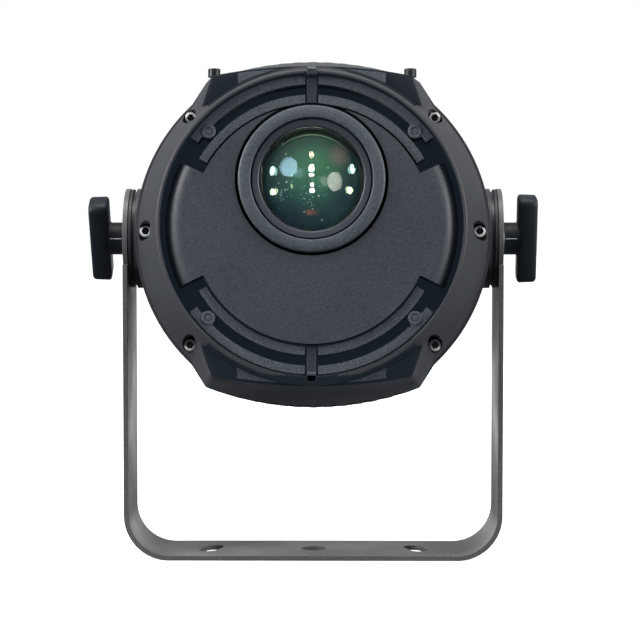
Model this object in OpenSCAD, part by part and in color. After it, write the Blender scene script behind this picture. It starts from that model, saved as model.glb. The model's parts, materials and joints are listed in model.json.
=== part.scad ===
// Par-style stage projector in a U yoke.
// Origin: centre of the clamp hole on the yoke's underside. +Z up, the lens looks along -Y.
// Head pieces are drawn in the head's own frame (x right, y up, z forward) about the tilt axis.

/* [Yoke] */
// Width across the yoke's legs
yoke_w = 192; // [188:1:230]
// Width of the strap
strap_w = 50; // [40:1:60]
// Thickness of the strap
strap_t = 2.5; // [2:0.5:4]
// Outer radius of the two bends
bend_r = 23; // [12:1:30]
// Height of the tilt axis above the yoke's underside
axis_h = 163; // [150:1:200]
// Diameter of the round ears
ear_d = 51; // [40:1:54]
// Diameter of the clamp hole
clamp_hole_d = 13; // [8:0.5:14]
// Distance between the two quarter-turn slots
slot_pitch = 106; // [90:1:110]
// Width of a quarter-turn slot
slot_w = 9; // [6:0.5:10]
// Distance between the ends' centres of a quarter-turn slot
slot_run = 11; // [8:1:14]
// Slant of the quarter-turn slots
slot_slant = 18; // [0:1:30]

/* [Head shell] */
// Nose-up tilt of the head at rest
rest_tilt = 6; // [0:1:20]
// Outer radius of the rear housing at the parting line
drum_r = 89.5; // [84:0.5:90]
// Outer radius of the rear housing at its back
drum_back_r = 83; // [76:0.5:84]
// Where the back cover sits behind the tilt axis
drum_back = 93; // [88:1:105]
// Where the front cover meets the rear housing
parting = 26; // [26:0.5:30]
// Outer radius of the front cover at the parting line
cover_r = 88; // [80:0.5:89]
// Radius of the front cover's front edge
rim_r = 74.3; // [72:0.1:80]
// Where the front edge lies
rim_front = 80; // [76:1:90]
// How far the front cover's side wall bulges
side_bulge = 2.2; // [0:0.1:4]
// Wall thickness of the shells
wall = 3; // [2:0.5:4]
// Half width of the shoulders at the parting line
shoulder_x = 53.6; // [45:0.1:58]
// Height of the shoulder corners at the parting line
shoulder_y = 77.1; // [74:0.1:79]
// Height of the shoulders' middle at the parting line
shoulder_mid = 87; // [83:0.5:89]
// Half width of the shoulders at the front
shoulder_front_x = 48; // [40:0.5:52]
// Height of the shoulder corners at the front
shoulder_front_y = 73; // [70:0.5:76]
// Height of the shoulders' middle at the front
shoulder_front_mid = 77; // [75:0.5:80]
// Where the shoulders' front faces lie
shoulder_front = 72; // [70:0.5:78]
// Number of vent slots in each row
vent_n = 12; // [4:1:13]
// Distance between vent slots
vent_pitch = 7.7; // [6:0.1:8]
// Width of a vent slot
vent_w = 4; // [2:0.5:5]
// How far the vent slots notch the front cover
vent_notch = 4; // [0:0.5:6]
// Length of a vent slot in the rear housing
vent_len = 27; // [15:1:30]
// Distance between the two rows of vent slots
vent_row_pitch = 40; // [35:1:44]

/* [Face] */
// Where the floor behind the face panel lies
floor_s = 66; // [60:0.5:68]
// Radius of the face panel
panel_r = 70.4; // [66:0.1:71]
// Where the face panel's front lies
panel_front = 79.2; // [74:0.1:84]
// Rounding of the face panel's rim
panel_round = 3.8; // [1:0.1:5]
// Thickness of the face panel's walls
panel_wall = 2.5; // [1.5:0.5:4]
// Inner radius of the two windows
window_r = 57.2; // [50:0.1:60]
// Angle of a window's ends above the horizontal
window_deg = 25.3; // [15:0.1:40]
// Inner and outer radius of the inner ribs
rib_in = [58.4, 62.6]; // [58:0.1:66]
// Inner and outer radius of the outer ribs
rib_out = [67.6, 71.8]; // [66:0.1:72]
// Angles of the inner and outer ribs' ends above the horizontal
rib_deg = [30.5, 35.8]; // [28:0.1:45]
// Where the ribs' fronts lie
rib_front = 77; // [70:0.5:80]
// Width of the centre ribs
centre_rib_w = 4; // [2:0.5:6]
// Radius of the bosses on the outer ribs
rib_boss_r = 3.4; // [2:0.1:4]
// Where the bosses' centres lie, radius
rib_boss_at = 66.7; // [64:0.1:68]
// Where the bosses' centres lie, angle
rib_boss_deg = 42.2; // [38:0.1:60]

/* [Lens] */
// Height of the lens above the head's axis
lens_y = 21.8; // [15:0.1:22]
// Radius of the lens
lens_r = 25; // [20:0.1:26]
// Bulge of the lens's front
lens_bulge = 7; // [3:0.5:9]
// Width of the bezel's ring
bezel_w = 6; // [4:0.1:6.5]
// Where the bezel's front lies
bezel_front = 81; // [80:0.5:86]
// Where the lens's edge seats in its tube
lens_seat = 68; // [60:0.5:70]
// Wall of the lens tube
tube_wall = 4; // [2:0.1:4.2]
// Where the lens tube ends behind
tube_back = 6; // [4:1:20]

/* [Tilt knobs] */
// Diameter of the knob stud
stud_d = 8; // [6:1:10]
// Radial clearance of the stud
stud_gap = 0.05; // [0.02:0.01:0.1]
// Diameter of the knob hub
hub_d = 16.5; // [14:0.5:20]
// How far the hub stands off the washer
hub_len = 7.2; // [5:0.1:12]
// Length of the T handle
tee_len = 45; // [35:1:50]
// Width of the T handle
tee_w = 14.5; // [10:0.5:16]
// Thickness of the T handle
tee_t = 9.8; // [6:0.1:12]
// Turn of the left T handle
tee_turn_left = 30; // [0:1:90]
// Turn of the right T handle
tee_turn_right = 14; // [0:1:90]
// Thickness of the knob washers
washer_t = 1.2; // [0.8:0.1:2]
// Radius of the knob washers
washer_r = 9.5; // [9:0.5:12]
// Thickness of the friction discs
disc_t = 1.6; // [1:0.1:2.5]

/* [Screws] */
// Distance of the cover screws from the head's axis
screw_at = 82.7; // [82:0.1:83]
// Angle of the upper and lower cover screws
screw_deg = 43; // [38:1:45]
// Diameter of a cover screw's head
screw_head_d = 5.5; // [4:0.1:6]
// Where a cover screw's head rests
screw_seat = 38; // [34:0.5:42]
// Diameter of a cover screw's shank
screw_d = 3; // [2.5:0.5:4]
// Half distance between the shoulder screws
shoulder_screw_x = 47.8; // [40:0.1:48]
// Where the shoulder screws lie
shoulder_screw_s = 61.5; // [50:0.5:64]
// Diameter of a shoulder screw's head
shoulder_screw_d = 6; // [4:0.5:7]
// Height of a shoulder screw's head
shoulder_screw_h = 4; // [2:0.5:5]

/* [Optics and drive] */
// Distance of a wheel's centre from the lens axis, sideways
wheel_x = 25; // [25:0.5:28]
// Distance of a wheel's centre below the lens axis
wheel_drop = 23.8; // [20:0.1:26]
// Radius of the wheels
wheel_r = 44; // [40:0.5:46]
// Half width of the beam's gate
gate_r = 8; // [6:0.5:9]
// Radius of the wheel shafts
shaft_r = 1.5; // [1.5:0.1:2.5]
// Radial clearance of running shafts
run_gap = 0.05; // [0.02:0.01:0.1]
// Number of colour filters
filter_n = 8; // [5:1:9]
// Half distance between the chassis posts
post_half = 34; // [32:0.5:36]
// Radius of the chassis posts
post_r = 3; // [2:0.5:4]
// Front of the chassis plate
chassis_front = -12; // [-16:0.5:-11]
// Number of heat-sink fins
fin_n = 13; // [7:1:17]
// Side of the fan's frame
fan_side = 60; // [50:1:62]
// Number of fan blades
blade_n = 7; // [5:1:9]

/* [Back panel] */
// Thickness of the back cover
back_t = 3; // [2:0.5:4]
// Height of the connectors' row
socket_y = -50; // [-52:0.5:-48]
// Distance between connectors
socket_pitch = 28; // [26:0.5:29]
// Radius of the connectors' flanges
socket_flange_r = 12; // [11:0.5:12.5]
// Radius of the connectors' wells
socket_well_r = 9; // [8:0.5:9.5]
// Depth of the connectors' wells
socket_depth = 14; // [12:1:18]
// Width and height of the display window
display_size = [38, 13]; // [10:1:40]
// Height of the display's middle
display_y = -19; // [-20:0.5:-18]
// Radius of a menu button
button_r = 4; // [3:0.5:4.5]
// Distance from the display's middle to the inner buttons
button_x = 27; // [26:0.5:30]
// Distance between the buttons of a pair
button_pitch = 12; // [11:0.5:14]
// Radius of the fan grille
grille_r = 27; // [20:0.5:28]
// Number of slots in the fan grille
grille_n = 9; // [5:1:11]
// Sideways and upward place of the fuse
fuse_place = [-58, -8]; // [-60:1:0]
// Travel of a menu button
button_travel = 0.7; // [0.4:0.1:0.8]
// Height of the safety eye
safety_y = 66; // [64:0.5:67]
// Thickness of the safety eye's plate
eye_t = 4; // [3:0.5:6]
// Radius of the safety eye's hole
eye_hole_r = 6; // [4:0.5:7]

/* [Hidden] */
$fn = 96;
tiny = 0.01;
// Gap left between faces of bodies that turn past each other
face_gap = 0.2;
// Gap round a piece dropped into its opening
fit_gap = 0.2;

leg_x = yoke_w / 2;
leg_in = leg_x - strap_t;
stud_r = stud_d / 2;
disc_out = leg_in - face_gap;
disc_in = disc_out - disc_t;
pivot_plate_t = 1.6;
pivot_in = disc_in - pivot_plate_t;
washer_in = leg_x + face_gap / 2;
hub_in = washer_in + washer_t;
tee_in = hub_in + hub_len;
stud_tip = leg_in - 17.5;
insert_r = stud_r + 4;
insert_in = stud_tip - 2;
pivot_boss_in = min(insert_in, drum_r - 12);

cover_depth = rim_front - parting;
back_s = -drum_back;
panel_out = back_s - back_t;
back_scale = drum_back_r / drum_r;
rim_lip = 1.7;
// How far the shoulder arcs drop from the shoulders' faces to the front edge
rim_drop = 1.4;
// Half width of the shoulder arcs' slabs
shoulder_reach = cover_r + 8;
// Gap of the parting line, which the gasket fills in part
parting_gap = 0.8;
// Where the rear housing's belt starts to taper
belt_back = -2;
// How much more the belt drops at the back than the round wall does
back_drop = 2;
lens_gap = 0.1;
seal_r = 0.8;
tube_r = lens_r + lens_gap + tube_wall;
tube_front = lens_seat + 4.8;
bezel_in_r = tube_r + fit_gap;
bezel_r = bezel_in_r + bezel_w;
// Clearance round the bezel in the face panel and the ribs
bezel_gap = 1.5;
shoulder_screw_seat = shoulder_front_y + 0.5;
// Depth and radius of the cover screws' bosses
screw_boss_r = 4.5;
screw_tip = 12;
grille_y = lens_y + 6;
eye_screw_x = 8;
register_r = drum_back_r - 8;
eye_screw_r = 1.4;
fuse_r = 6;
post_hole_r = 1.6;
display_seat = 1.2;
switch_h = 0.8;
socket_flange_t = 2;
socket_face = panel_out - socket_flange_t;
socket_barrel_r = socket_well_r + 1.4;
contact_len = 10;
contact_gap = 0.15;
data_pin_r = 1.15;
back_cover_r = drum_back_r - 4.6;
back_screw_at = drum_back_r - 7.2;
back_screw_r = 1.25;
wheel_y = lens_y - wheel_drop;
wheel_gate = sqrt(wheel_x * wheel_x + wheel_drop * wheel_drop);
chassis_t = 2;
chassis_back = chassis_front - chassis_t;
motor_len = 18;
motor_r = 10;
motor_nose_r = 3.9;
// Thickness of the motors' closed back end
motor_end = 3;
condenser_r = 18;
// Where the condenser lens sits above the heat sink
condenser_seat = 9;
colour_s = chassis_front + 3;
effect_s = chassis_front + 9;
fan_t = 15;
fan_bore = fan_side / 2 - 1.8;
fan_hub_r = 12;
fan_back = back_s + 3;
fan_front = fan_back + fan_t;
sink_back = fan_front + 0.2;
sink_front = sink_back + 26;
sink_base = 5;
board_t = 1.6;
display_t = 2.4;
menu_board_s = back_s + display_t;
power_board_y = -62;
board_post_x = 36;
board_post_s = [-82, -36];

button_places = [-button_x - button_pitch, -button_x, button_x, button_x + button_pitch];
socket_places = [for (i = [0:3]) (i - 1.5) * socket_pitch];
screw_angles = [0, screw_deg, 180 - screw_deg, 180, 180 + screw_deg, -screw_deg];

// Places its children in the head's frame.
module on_head() {
    translate([0, 0, axis_h]) rotate([90 - rest_tilt, 0, 0]) children();
}

// Draws its children for the side named by side: 1 is right, -1 is left.
module on_side(side) {
    if (side > 0) children();
    else mirror([1, 0, 0]) children();
}

// Draws its children at the top, and again turned half round, at the bottom.
module both_ways() {
    for (a = [0, 180]) rotate([0, 0, a]) children();
}

// A cylinder along X from x0 to x1.
module rod_x(r, x0, x1) {
    translate([x0, 0, 0]) rotate([0, 90, 0]) cylinder(r = r, h = x1 - x0);
}

// A ring along z.
module ring(r_out, r_in, z0, z1) {
    translate([0, 0, z0]) difference() {
        cylinder(r = r_out, h = z1 - z0);
        translate([0, 0, -1]) cylinder(r = r_in, h = z1 - z0 + 2);
    }
}

// A plate centred on x and y, from z0 to z1.
module plate(size_x, size_y, z0, z1) {
    translate([-size_x / 2, -size_y / 2, z0]) cube([size_x, size_y, z1 - z0]);
}

// A flat wedge between two angles, reaching to radius r.
module sector(r, a0, a1) {
    steps = 8;
    polygon(concat([[0, 0]],
        [for (i = [0:steps]) let (a = a0 + (a1 - a0) * i / steps) [r * cos(a), r * sin(a)]]));
}

// ---- Yoke ----

module quarter_turn_slot() {
    rotate([0, 0, slot_slant]) translate([0, 0, -1]) {
        for (s = [-1, 1]) translate([0, s * slot_run / 2, 0]) cylinder(d = slot_w, h = strap_t + 2);
        translate([-slot_w / 2, -slot_run / 2, 0]) cube([slot_w, slot_run, strap_t + 2]);
    }
}

module strap_section(inset) {
    r = bend_r - inset;
    half = leg_x - inset;
    translate([-half + r, inset]) square([2 * (half - r), r]);
    for (s = [-1, 1]) translate([s * (half - r), bend_r]) circle(r = r);
    translate([-half, bend_r]) square([2 * half, axis_h + ear_d]);
}

module yoke() {
    color([0.2, 0.21, 0.22]) difference() {
        rotate([90, 0, 0]) translate([0, 0, -ear_d]) linear_extrude(2 * ear_d) difference() {
            strap_section(0);
            strap_section(strap_t);
        }
        // The strap's edges and the round ears
        for (s = [-1, 1]) translate([0, s * (strap_w / 2 + ear_d), 0])
            translate([-leg_x - 1, -ear_d, -1]) cube([yoke_w + 2, 2 * ear_d, axis_h - ear_d / 4 + 1]);
        translate([0, 0, axis_h]) difference() {
            translate([-leg_x - 1, -2 * ear_d, -ear_d / 4]) cube([yoke_w + 2, 4 * ear_d, 3 * ear_d]);
            rod_x(ear_d / 2, -leg_x - 2, leg_x + 2);
        }
        translate([0, 0, axis_h]) rod_x(stud_r + stud_gap, -leg_x - 2, leg_x + 2);
        translate([0, 0, -1]) cylinder(d = clamp_hole_d, h = strap_t + 2);
        for (s = [-1, 1]) translate([s * slot_pitch / 2, 0, 0])
            on_side(s) quarter_turn_slot();
    }
}

// ---- Head shells ----

// Radius of the arc through a shoulder's corner and middle.
function shoulder_arc(x, y, mid) = (x * x + (mid - y) * (mid - y)) / (2 * (mid - y));

// The region between the top and bottom shoulder arcs, as a thin slab at s.
module arc_slab(s, x, y, mid) {
    r = shoulder_arc(x, y, mid);
    steps = 10;
    top = [for (i = [-steps:steps]) let (u = -shoulder_reach * i / steps) [u, mid - r + sqrt(r * r - u * u)]];
    low = [for (p = top) [-p[0], -p[1]]];
    translate([0, 0, s]) linear_extrude(tiny) polygon(concat(top, low));
}

// The belt that holds the shoulders' corners, as a thin slab at s. It starts just inside the round
// wall of radius r, and runs on past the corners, where the arcs trim it.
module belt_slab(s, r, x, y) {
    under = 0.8;
    grow = 0.6;
    p = (r - under) * sin(45);
    qx = x + (x - p) * grow;
    qy = y + (y - p) * grow;
    translate([0, 0, s]) linear_extrude(tiny)
        polygon([[p, p], [qx, qy], [-qx, qy], [-p, p], [-p, -p], [-qx, -qy], [qx, -qy], [p, -p]]);
}

// Radius of the cover's side wall at s.
function cover_wall(s) =
    let (t = (s - parting) / cover_depth)
    cover_r + (rim_r - cover_r) * t + 4 * side_bulge * t * (1 - t);

// The front cover's outer shape, drawn in by inset.
module cover_shape(inset, front) {
    steps = 8;
    depth = front - parting;
    intersection() {
        union() {
            rotate_extrude() polygon(concat([[0, parting]],
                [for (i = [0:steps]) let (s = parting + depth * i / steps) [cover_wall(s) - inset, s]],
                [[0, front]]));
            intersection() {
                hull() {
                    belt_slab(parting, cover_r - inset, shoulder_x - inset, shoulder_y - inset);
                    belt_slab(shoulder_front - tiny - inset, rim_r - inset, shoulder_front_x - inset,
                        shoulder_front_y - inset);
                }
                translate([0, 0, parting]) cylinder(r = 2 * cover_r, h = depth);
            }
        }
        hull() {
            arc_slab(parting, shoulder_x, shoulder_y - inset, shoulder_mid - inset);
            arc_slab(rim_front, shoulder_front_x, shoulder_front_y - rim_drop - inset,
                shoulder_front_mid - rim_drop - inset);
        }
    }
}

module cover_screw_places() {
    for (a = screw_angles) rotate([0, 0, a]) translate([screw_at, 0, 0]) children();
}

module front_cover() {
    boss_len = screw_seat - parting + 8;
    step_out = 4.5;
    step_deg = 50;
    color([0.17, 0.18, 0.19]) on_head() difference() {
        union() {
            difference() {
                cover_shape(0, rim_front);
                translate([0, 0, -tiny]) cover_shape(wall, floor_s - wall);
            }
            intersection() {
                cover_shape(0, rim_front);
                cover_screw_places() translate([0, 0, parting]) cylinder(r = screw_boss_r, h = boss_len);
            }
        }
        // Front recess
        translate([0, 0, floor_s]) cylinder(r = rim_r - rim_lip, h = rim_front);
        // Sloped step down from the shoulders' faces
        intersection() {
            translate([0, 0, floor_s])
                cylinder(r1 = rim_r - rim_lip, r2 = rim_r + step_out, h = rim_front - floor_s);
            for (a = [0, 180]) rotate([0, 0, a]) translate([0, 0, floor_s])
                linear_extrude(rim_front) sector(2 * rim_r, step_deg, 180 - step_deg);
        }
        if (vent_notch > 0) both_ways() vent_row(parting - 1, parting + vent_notch);
        // Lens tube opening
        translate([0, lens_y, 0]) cylinder(r = tube_r + fit_gap, h = rim_front);
        // Cover screws
        cover_screw_places() {
            translate([0, 0, screw_seat]) cylinder(d = screw_head_d + 1, h = rim_front);
            cylinder(r = screw_d / 2 + fit_gap, h = screw_seat + 1);
        }
        shoulder_screw_holes();
    }
}

// Places on top of the shoulders, with z out of the shell.
module shoulder_screw_places() {
    for (s = [-1, 1]) translate([s * shoulder_screw_x, shoulder_screw_seat, shoulder_screw_s])
        rotate([-90, 0, 0]) children();
}

module shoulder_screw_holes() {
    shoulder_screw_places() {
        cylinder(d = shoulder_screw_d + 2 * fit_gap, h = 2 * shoulder_screw_h);
        translate([0, 0, -4 * wall]) cylinder(r = screw_d / 2 + fit_gap, h = 5 * wall);
    }
}

// A cap screw with its head from 0 to head_h and its shank below.
module cap_screw(head_d, head_h, shank, shank_d) {
    difference() {
        union() {
            cylinder(d = head_d, h = head_h);
            translate([0, 0, -shank]) cylinder(d = shank_d, h = shank + tiny);
        }
        translate([0, 0, head_h / 2]) cylinder(d = 0.5 * head_d, h = head_h, $fn = 6);
    }
}

module shoulder_screws() {
    color([0.08, 0.08, 0.09]) on_head() shoulder_screw_places()
        cap_screw(shoulder_screw_d, shoulder_screw_h, 3 * wall, screw_d);
}

module cover_screws() {
    color([0.75, 0.75, 0.77]) on_head() cover_screw_places() translate([0, 0, screw_seat])
        cap_screw(screw_head_d, screw_d, screw_seat - screw_tip, screw_d);
}

module cover_gasket() {
    out_r = cover_r - wall + 1.6;
    in_r = cover_r - wall - 2;
    color([0.06, 0.06, 0.06]) on_head() difference() {
        translate([0, 0, parting - parting_gap]) cylinder(r = out_r, h = parting_gap - tiny);
        cylinder(r = in_r, h = parting + 1);
        cover_screw_places() cylinder(r = screw_boss_r + 0.5, h = parting + 1);
        // What lies above and below the shoulders' inner arcs
        both_ways() translate([-cover_r, shoulder_mid - wall - 1, 0]) cube([2 * cover_r, cover_r, 2 * parting]);
    }
}

// The rear housing's outer shape, drawn in by inset.
module drum_shape(inset, front) {
    edge = 5;
    intersection() {
        union() {
            rotate_extrude() polygon([[0, back_s], [drum_back_r - inset - edge, back_s],
                [drum_back_r - inset - edge * 0.3, back_s + edge * 0.3], [drum_back_r - inset, back_s + edge],
                [drum_r - inset, 0], [drum_r - inset, front], [0, front]]);
            hull() {
                belt_slab(front - tiny, drum_r - inset, shoulder_x - inset, shoulder_y - inset);
                belt_slab(belt_back, drum_r - inset, shoulder_x - inset, shoulder_y - inset);
                belt_slab(back_s, drum_back_r - inset - edge, (shoulder_x - inset) * back_scale - back_drop,
                    (shoulder_y - inset) * back_scale - back_drop);
            }
        }
        hull() {
            arc_slab(front - tiny, shoulder_x, shoulder_y - inset, shoulder_mid - inset);
            arc_slab(belt_back, shoulder_x, shoulder_y - inset, shoulder_mid - inset);
            arc_slab(back_s, shoulder_x * back_scale, (shoulder_y - inset) * back_scale - back_drop,
                (shoulder_mid - inset) * back_scale - back_drop);
        }
    }
}

// One row of vent slots through the top, from s0 to s1.
module vent_row(s0, s1) {
    for (i = [0:vent_n - 1]) translate([(i - (vent_n - 1) / 2) * vent_pitch - vent_w / 2, 0, s0])
        cube([vent_w, 2 * drum_r, s1 - s0]);
}

// Height of the rear housing's top at x and s.
function drum_height(x, s) =
    let (t = (belt_back - s) / (drum_back + belt_back), r = shoulder_arc(shoulder_x, shoulder_y, shoulder_mid))
    shoulder_mid * (1 - t) + (shoulder_mid * back_scale - back_drop) * t - (r - sqrt(r * r - x * x));

module rear_housing() {
    turret_r = ear_d / 2;
    turret_in = drum_r - 9;
    boss_back = 8;
    vent_front = parting - 5;
    color([0.14, 0.15, 0.16]) on_head() difference() {
        union() {
            difference() {
                drum_shape(0, parting - parting_gap);
                difference() {
                    translate([0, 0, -tiny]) drum_shape(wall, parting + tiny);
                    translate([0, 0, back_s - 1]) cylinder(r = 2 * drum_r, h = 1 + tiny);
                }
            }
            for (s = [-1, 1]) on_side(s) {
                rod_x(turret_r, turret_in, pivot_in);
                rod_x(insert_r + wall, pivot_boss_in, turret_in + 1);
            }
            cover_screw_places() translate([0, 0, boss_back])
                cylinder(r = screw_boss_r, h = parting - parting_gap - boss_back);
            for (x = [-1, 1] * board_post_x, z = board_post_s) translate([x, power_board_y - board_t, z])
                rotate([90, 0, 0]) cylinder(r = 3, h = drum_height(x, z) - wall / 2 + power_board_y - board_t);
        }
        // Opening at the back for the back cover's register
        translate([0, 0, back_s - 1]) cylinder(r = register_r, h = wall + 2);
        for (s = [-1, 1]) on_side(s) rod_x(insert_r, insert_in - 1, pivot_in + 1);
        cover_screw_places() translate([0, 0, screw_tip - 1]) cylinder(d = screw_d, h = parting);
        both_ways() for (row = [0, 1]) translate([0, 0, vent_front - row * vent_row_pitch])
            vent_row(-vent_len, 0);
        back_screw_places() translate([0, 0, back_s - 1]) cylinder(r = back_screw_r, h = 12);
    }
}

// ---- Face ----

// The face panel's outline with its two windows, drawn in by inset.
module panel_outline(inset) {
    turn = asin(inset / window_r);
    difference() {
        circle(r = panel_r - inset);
        for (a = [0, 180]) rotate(a) difference() {
            sector(2 * panel_r, window_deg - turn, 180 - window_deg + turn);
            circle(r = window_r - inset);
        }
    }
}

module face_panel() {
    color([0.26, 0.27, 0.29]) on_head() difference() {
        intersection() {
            translate([0, 0, floor_s]) linear_extrude(panel_front - floor_s) panel_outline(0);
            rotate_extrude() {
                translate([0, floor_s]) square([panel_r - panel_round, panel_front - floor_s]);
                translate([0, floor_s]) square([panel_r, panel_front - floor_s - panel_round]);
                translate([panel_r - panel_round, panel_front - panel_round]) circle(r = panel_round);
            }
        }
        // Hollow back, with a wall left round the bezel
        translate([0, 0, floor_s - 1]) linear_extrude(panel_front - floor_s + 1 - panel_wall) difference() {
            panel_outline(panel_wall + 1);
            translate([0, lens_y]) circle(r = bezel_r + bezel_gap + panel_wall);
        }
        bezel_opening();
    }
}

// The round opening for the bezel, through the panel and the ribs.
module bezel_opening() {
    translate([0, lens_y, floor_s - 1]) cylinder(r = bezel_r + bezel_gap, h = rim_front);
}

// An arc between two radii that ends deg above the horizontal.
module rib_arc(radii, deg) {
    intersection() {
        difference() {
            sector(2 * panel_r, deg, 180 - deg);
            circle(r = radii[0]);
        }
        circle(r = radii[1]);
    }
}

module rib_boss_places() {
    for (s = [-1, 1]) rotate(90 + s * (90 - rib_boss_deg)) translate([rib_boss_at, 0]) children();
}

// A window's ribs, for the top or the bottom window.
module window_ribs() {
    height = rib_front - floor_s;
    centre_gap = 0.8;
    boss_hole_r = 1.2;
    linear_extrude(height) difference() {
        union() {
            rib_arc(rib_in, rib_deg[0]);
            rib_arc(rib_out, rib_deg[1]);
            rib_boss_places() circle(r = rib_boss_r);
        }
        square([centre_rib_w + 2 * centre_gap, 3 * panel_r], center = true);
        rib_boss_places() circle(r = boss_hole_r);
    }
    translate([-centre_rib_w / 2, rib_in[0], 0]) cube([centre_rib_w, rib_out[1] - rib_in[0], height - 1]);
    // A thin sole that carries the ribs
    linear_extrude(1) rib_arc([rib_in[0], rib_out[1]], rib_deg[0]);
}

module face_ribs() {
    color([0.3, 0.32, 0.34]) on_head() difference() {
        both_ways() translate([0, 0, floor_s]) window_ribs();
        bezel_opening();
    }
}

// ---- Lens ----

module lens_bezel() {
    edge = 0.6;
    color([0.3, 0.31, 0.33]) on_head() translate([0, lens_y, 0]) rotate_extrude()
        polygon([[bezel_in_r, floor_s], [bezel_r, floor_s], [bezel_r, bezel_front - edge],
            [bezel_r - edge, bezel_front], [bezel_in_r + edge, bezel_front], [bezel_in_r, bezel_front - edge]]);
}

// The ring that holds the lens in its tube, with a funnel that opens to the front.
module lens_retainer() {
    lip = 1.1;
    front = bezel_front - 0.8;
    color([0.12, 0.13, 0.15]) on_head() translate([0, lens_y, 0]) rotate_extrude()
        polygon([[lens_r - lip, tube_front], [tube_r, tube_front], [tube_r, front],
            [tube_r - 0.7, front], [tube_r - 1.6, front - 1.4], [lens_r + 0.4, tube_front + 2.6],
            [lens_r - lip, tube_front + 1.4]]);
}

module objective_lens() {
    edge = 3;
    dome_r = (lens_r * lens_r + lens_bulge * lens_bulge) / (2 * lens_bulge);
    color([0.2, 0.42, 0.38]) on_head() translate([0, lens_y, lens_seat]) union() {
        cylinder(r = lens_r, h = edge);
        intersection() {
            translate([0, 0, edge + lens_bulge - dome_r]) sphere(r = dome_r);
            translate([0, 0, edge - tiny]) cylinder(r = lens_r, h = lens_bulge + 1);
        }
    }
}

module lens_seal() {
    color([0.05, 0.05, 0.05]) on_head() translate([0, lens_y, lens_seat - seal_r])
        rotate_extrude() translate([lens_r + lens_gap - seal_r, 0]) circle(r = seal_r, $fn = 24);
}

module lens_tube() {
    seat_r = lens_r + lens_gap - 2 * seal_r;
    color([0.1, 0.1, 0.11]) on_head() translate([0, lens_y, 0]) difference() {
        translate([0, 0, tube_back]) cylinder(r = tube_r, h = tube_front - tube_back);
        translate([0, 0, tube_back - 1]) cylinder(r = seat_r, h = tube_front);
        translate([0, 0, lens_seat - 2 * seal_r]) cylinder(r = lens_r + lens_gap, h = tube_front);
    }
}

// ---- Pivots and knobs, drawn for the right side ----

module pivot_insert(side) {
    color([0.72, 0.6, 0.32]) on_head() on_side(side) difference() {
        rod_x(insert_r, insert_in, pivot_in);
        rod_x(stud_r + stud_gap, insert_in - 1, pivot_in + 1);
    }
}

module pivot_plate(side) {
    color([0.3, 0.3, 0.31]) on_head() on_side(side) difference() {
        rod_x(ear_d / 2 - 1.5, pivot_in, disc_in);
        rod_x(stud_r + stud_gap, pivot_in - 1, disc_in + 1);
    }
}

module friction_disc(side) {
    color([0.07, 0.07, 0.08]) on_head() on_side(side) difference() {
        rod_x(ear_d / 2 - 0.3, disc_in, disc_out);
        rod_x(stud_r + stud_gap, disc_in - 1, disc_out + 1);
    }
}

module knob_washer(side) {
    color([0.6, 0.6, 0.62]) translate([0, 0, axis_h]) on_side(side) difference() {
        rod_x(washer_r, washer_in, hub_in);
        rod_x(stud_r + stud_gap, washer_in - 1, hub_in + 1);
    }
}

module knob_stud(side) {
    color([0.65, 0.65, 0.67]) translate([0, 0, axis_h]) on_side(side) rod_x(stud_r, stud_tip, tee_in);
}

module tilt_knob(side, turn) {
    half = (tee_len - tee_w) / 2;
    color([0.09, 0.1, 0.12]) translate([0, 0, axis_h]) rotate([turn, 0, 0]) on_side(side) difference() {
        union() {
            rod_x(hub_d / 2, hub_in, tee_in + tiny);
            for (s = [-1, 1]) translate([0, 0, s * half]) rod_x(tee_w / 2, tee_in, tee_in + tee_t);
            translate([tee_in, -tee_w / 2, -half]) cube([tee_t, tee_w, 2 * half]);
        }
        rod_x(stud_r + stud_gap, hub_in - 1, tee_in);
    }
}

// ---- Back ----

module back_screw_places() {
    for (a = [30, 150, 210, 330]) rotate([0, 0, a]) translate([back_screw_at, 0, 0]) children();
}

module back_screws() {
    color([0.08, 0.08, 0.09]) on_head() back_screw_places() translate([0, 0, panel_out]) mirror([0, 0, 1])
        cap_screw(5.6, 2, 11, 2 * back_screw_r);
}

module socket_place(i) {
    translate([socket_places[i], socket_y, 0]) children();
}

// A round hole of radius r through the back cover.
module cover_hole(r) {
    translate([0, 0, panel_out - 1]) cylinder(r = r, h = back_t + 2);
}

module fan_grille() {
    slot_pitch_y = 2 * grille_r / grille_n;
    slot_h = 0.63 * slot_pitch_y;
    translate([0, grille_y, 0]) intersection() {
        cover_hole(grille_r);
        for (i = [0:grille_n - 1]) translate([0, (i - (grille_n - 1) / 2) * slot_pitch_y, 0])
            plate(2 * grille_r, slot_h, panel_out - 1, back_s + 1);
    }
}

module back_cover() {
    flat_y = shoulder_mid * back_scale - 4;
    window_lip = 2;
    color([0.14, 0.15, 0.16]) on_head() difference() {
        intersection() {
            translate([0, 0, panel_out]) cylinder(r = back_cover_r, h = back_t);
            plate(2 * back_cover_r, 2 * flat_y, panel_out, back_s);
        }
        fan_grille();
        translate([0, display_y, 0]) {
            plate(display_size[0], display_size[1], panel_out - 1, panel_out + display_seat);
            plate(display_size[0] - 2 * window_lip, display_size[1] - 2 * window_lip, panel_out, back_s + 1);
        }
        for (i = [0:3]) {
            translate([button_places[i], display_y, 0]) cover_hole(button_r + fit_gap);
            socket_place(i) cover_hole(socket_barrel_r + fit_gap);
        }
        translate(concat(fuse_place, 0)) cover_hole(fuse_r + fit_gap);
        back_screw_places() cover_hole(back_screw_r + fit_gap);
        for (s = [-1, 1]) translate([s * eye_screw_x, safety_y, 0]) cover_hole(eye_screw_r + 0.1);
        post_places() cover_hole(post_hole_r);
    }
}

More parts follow.
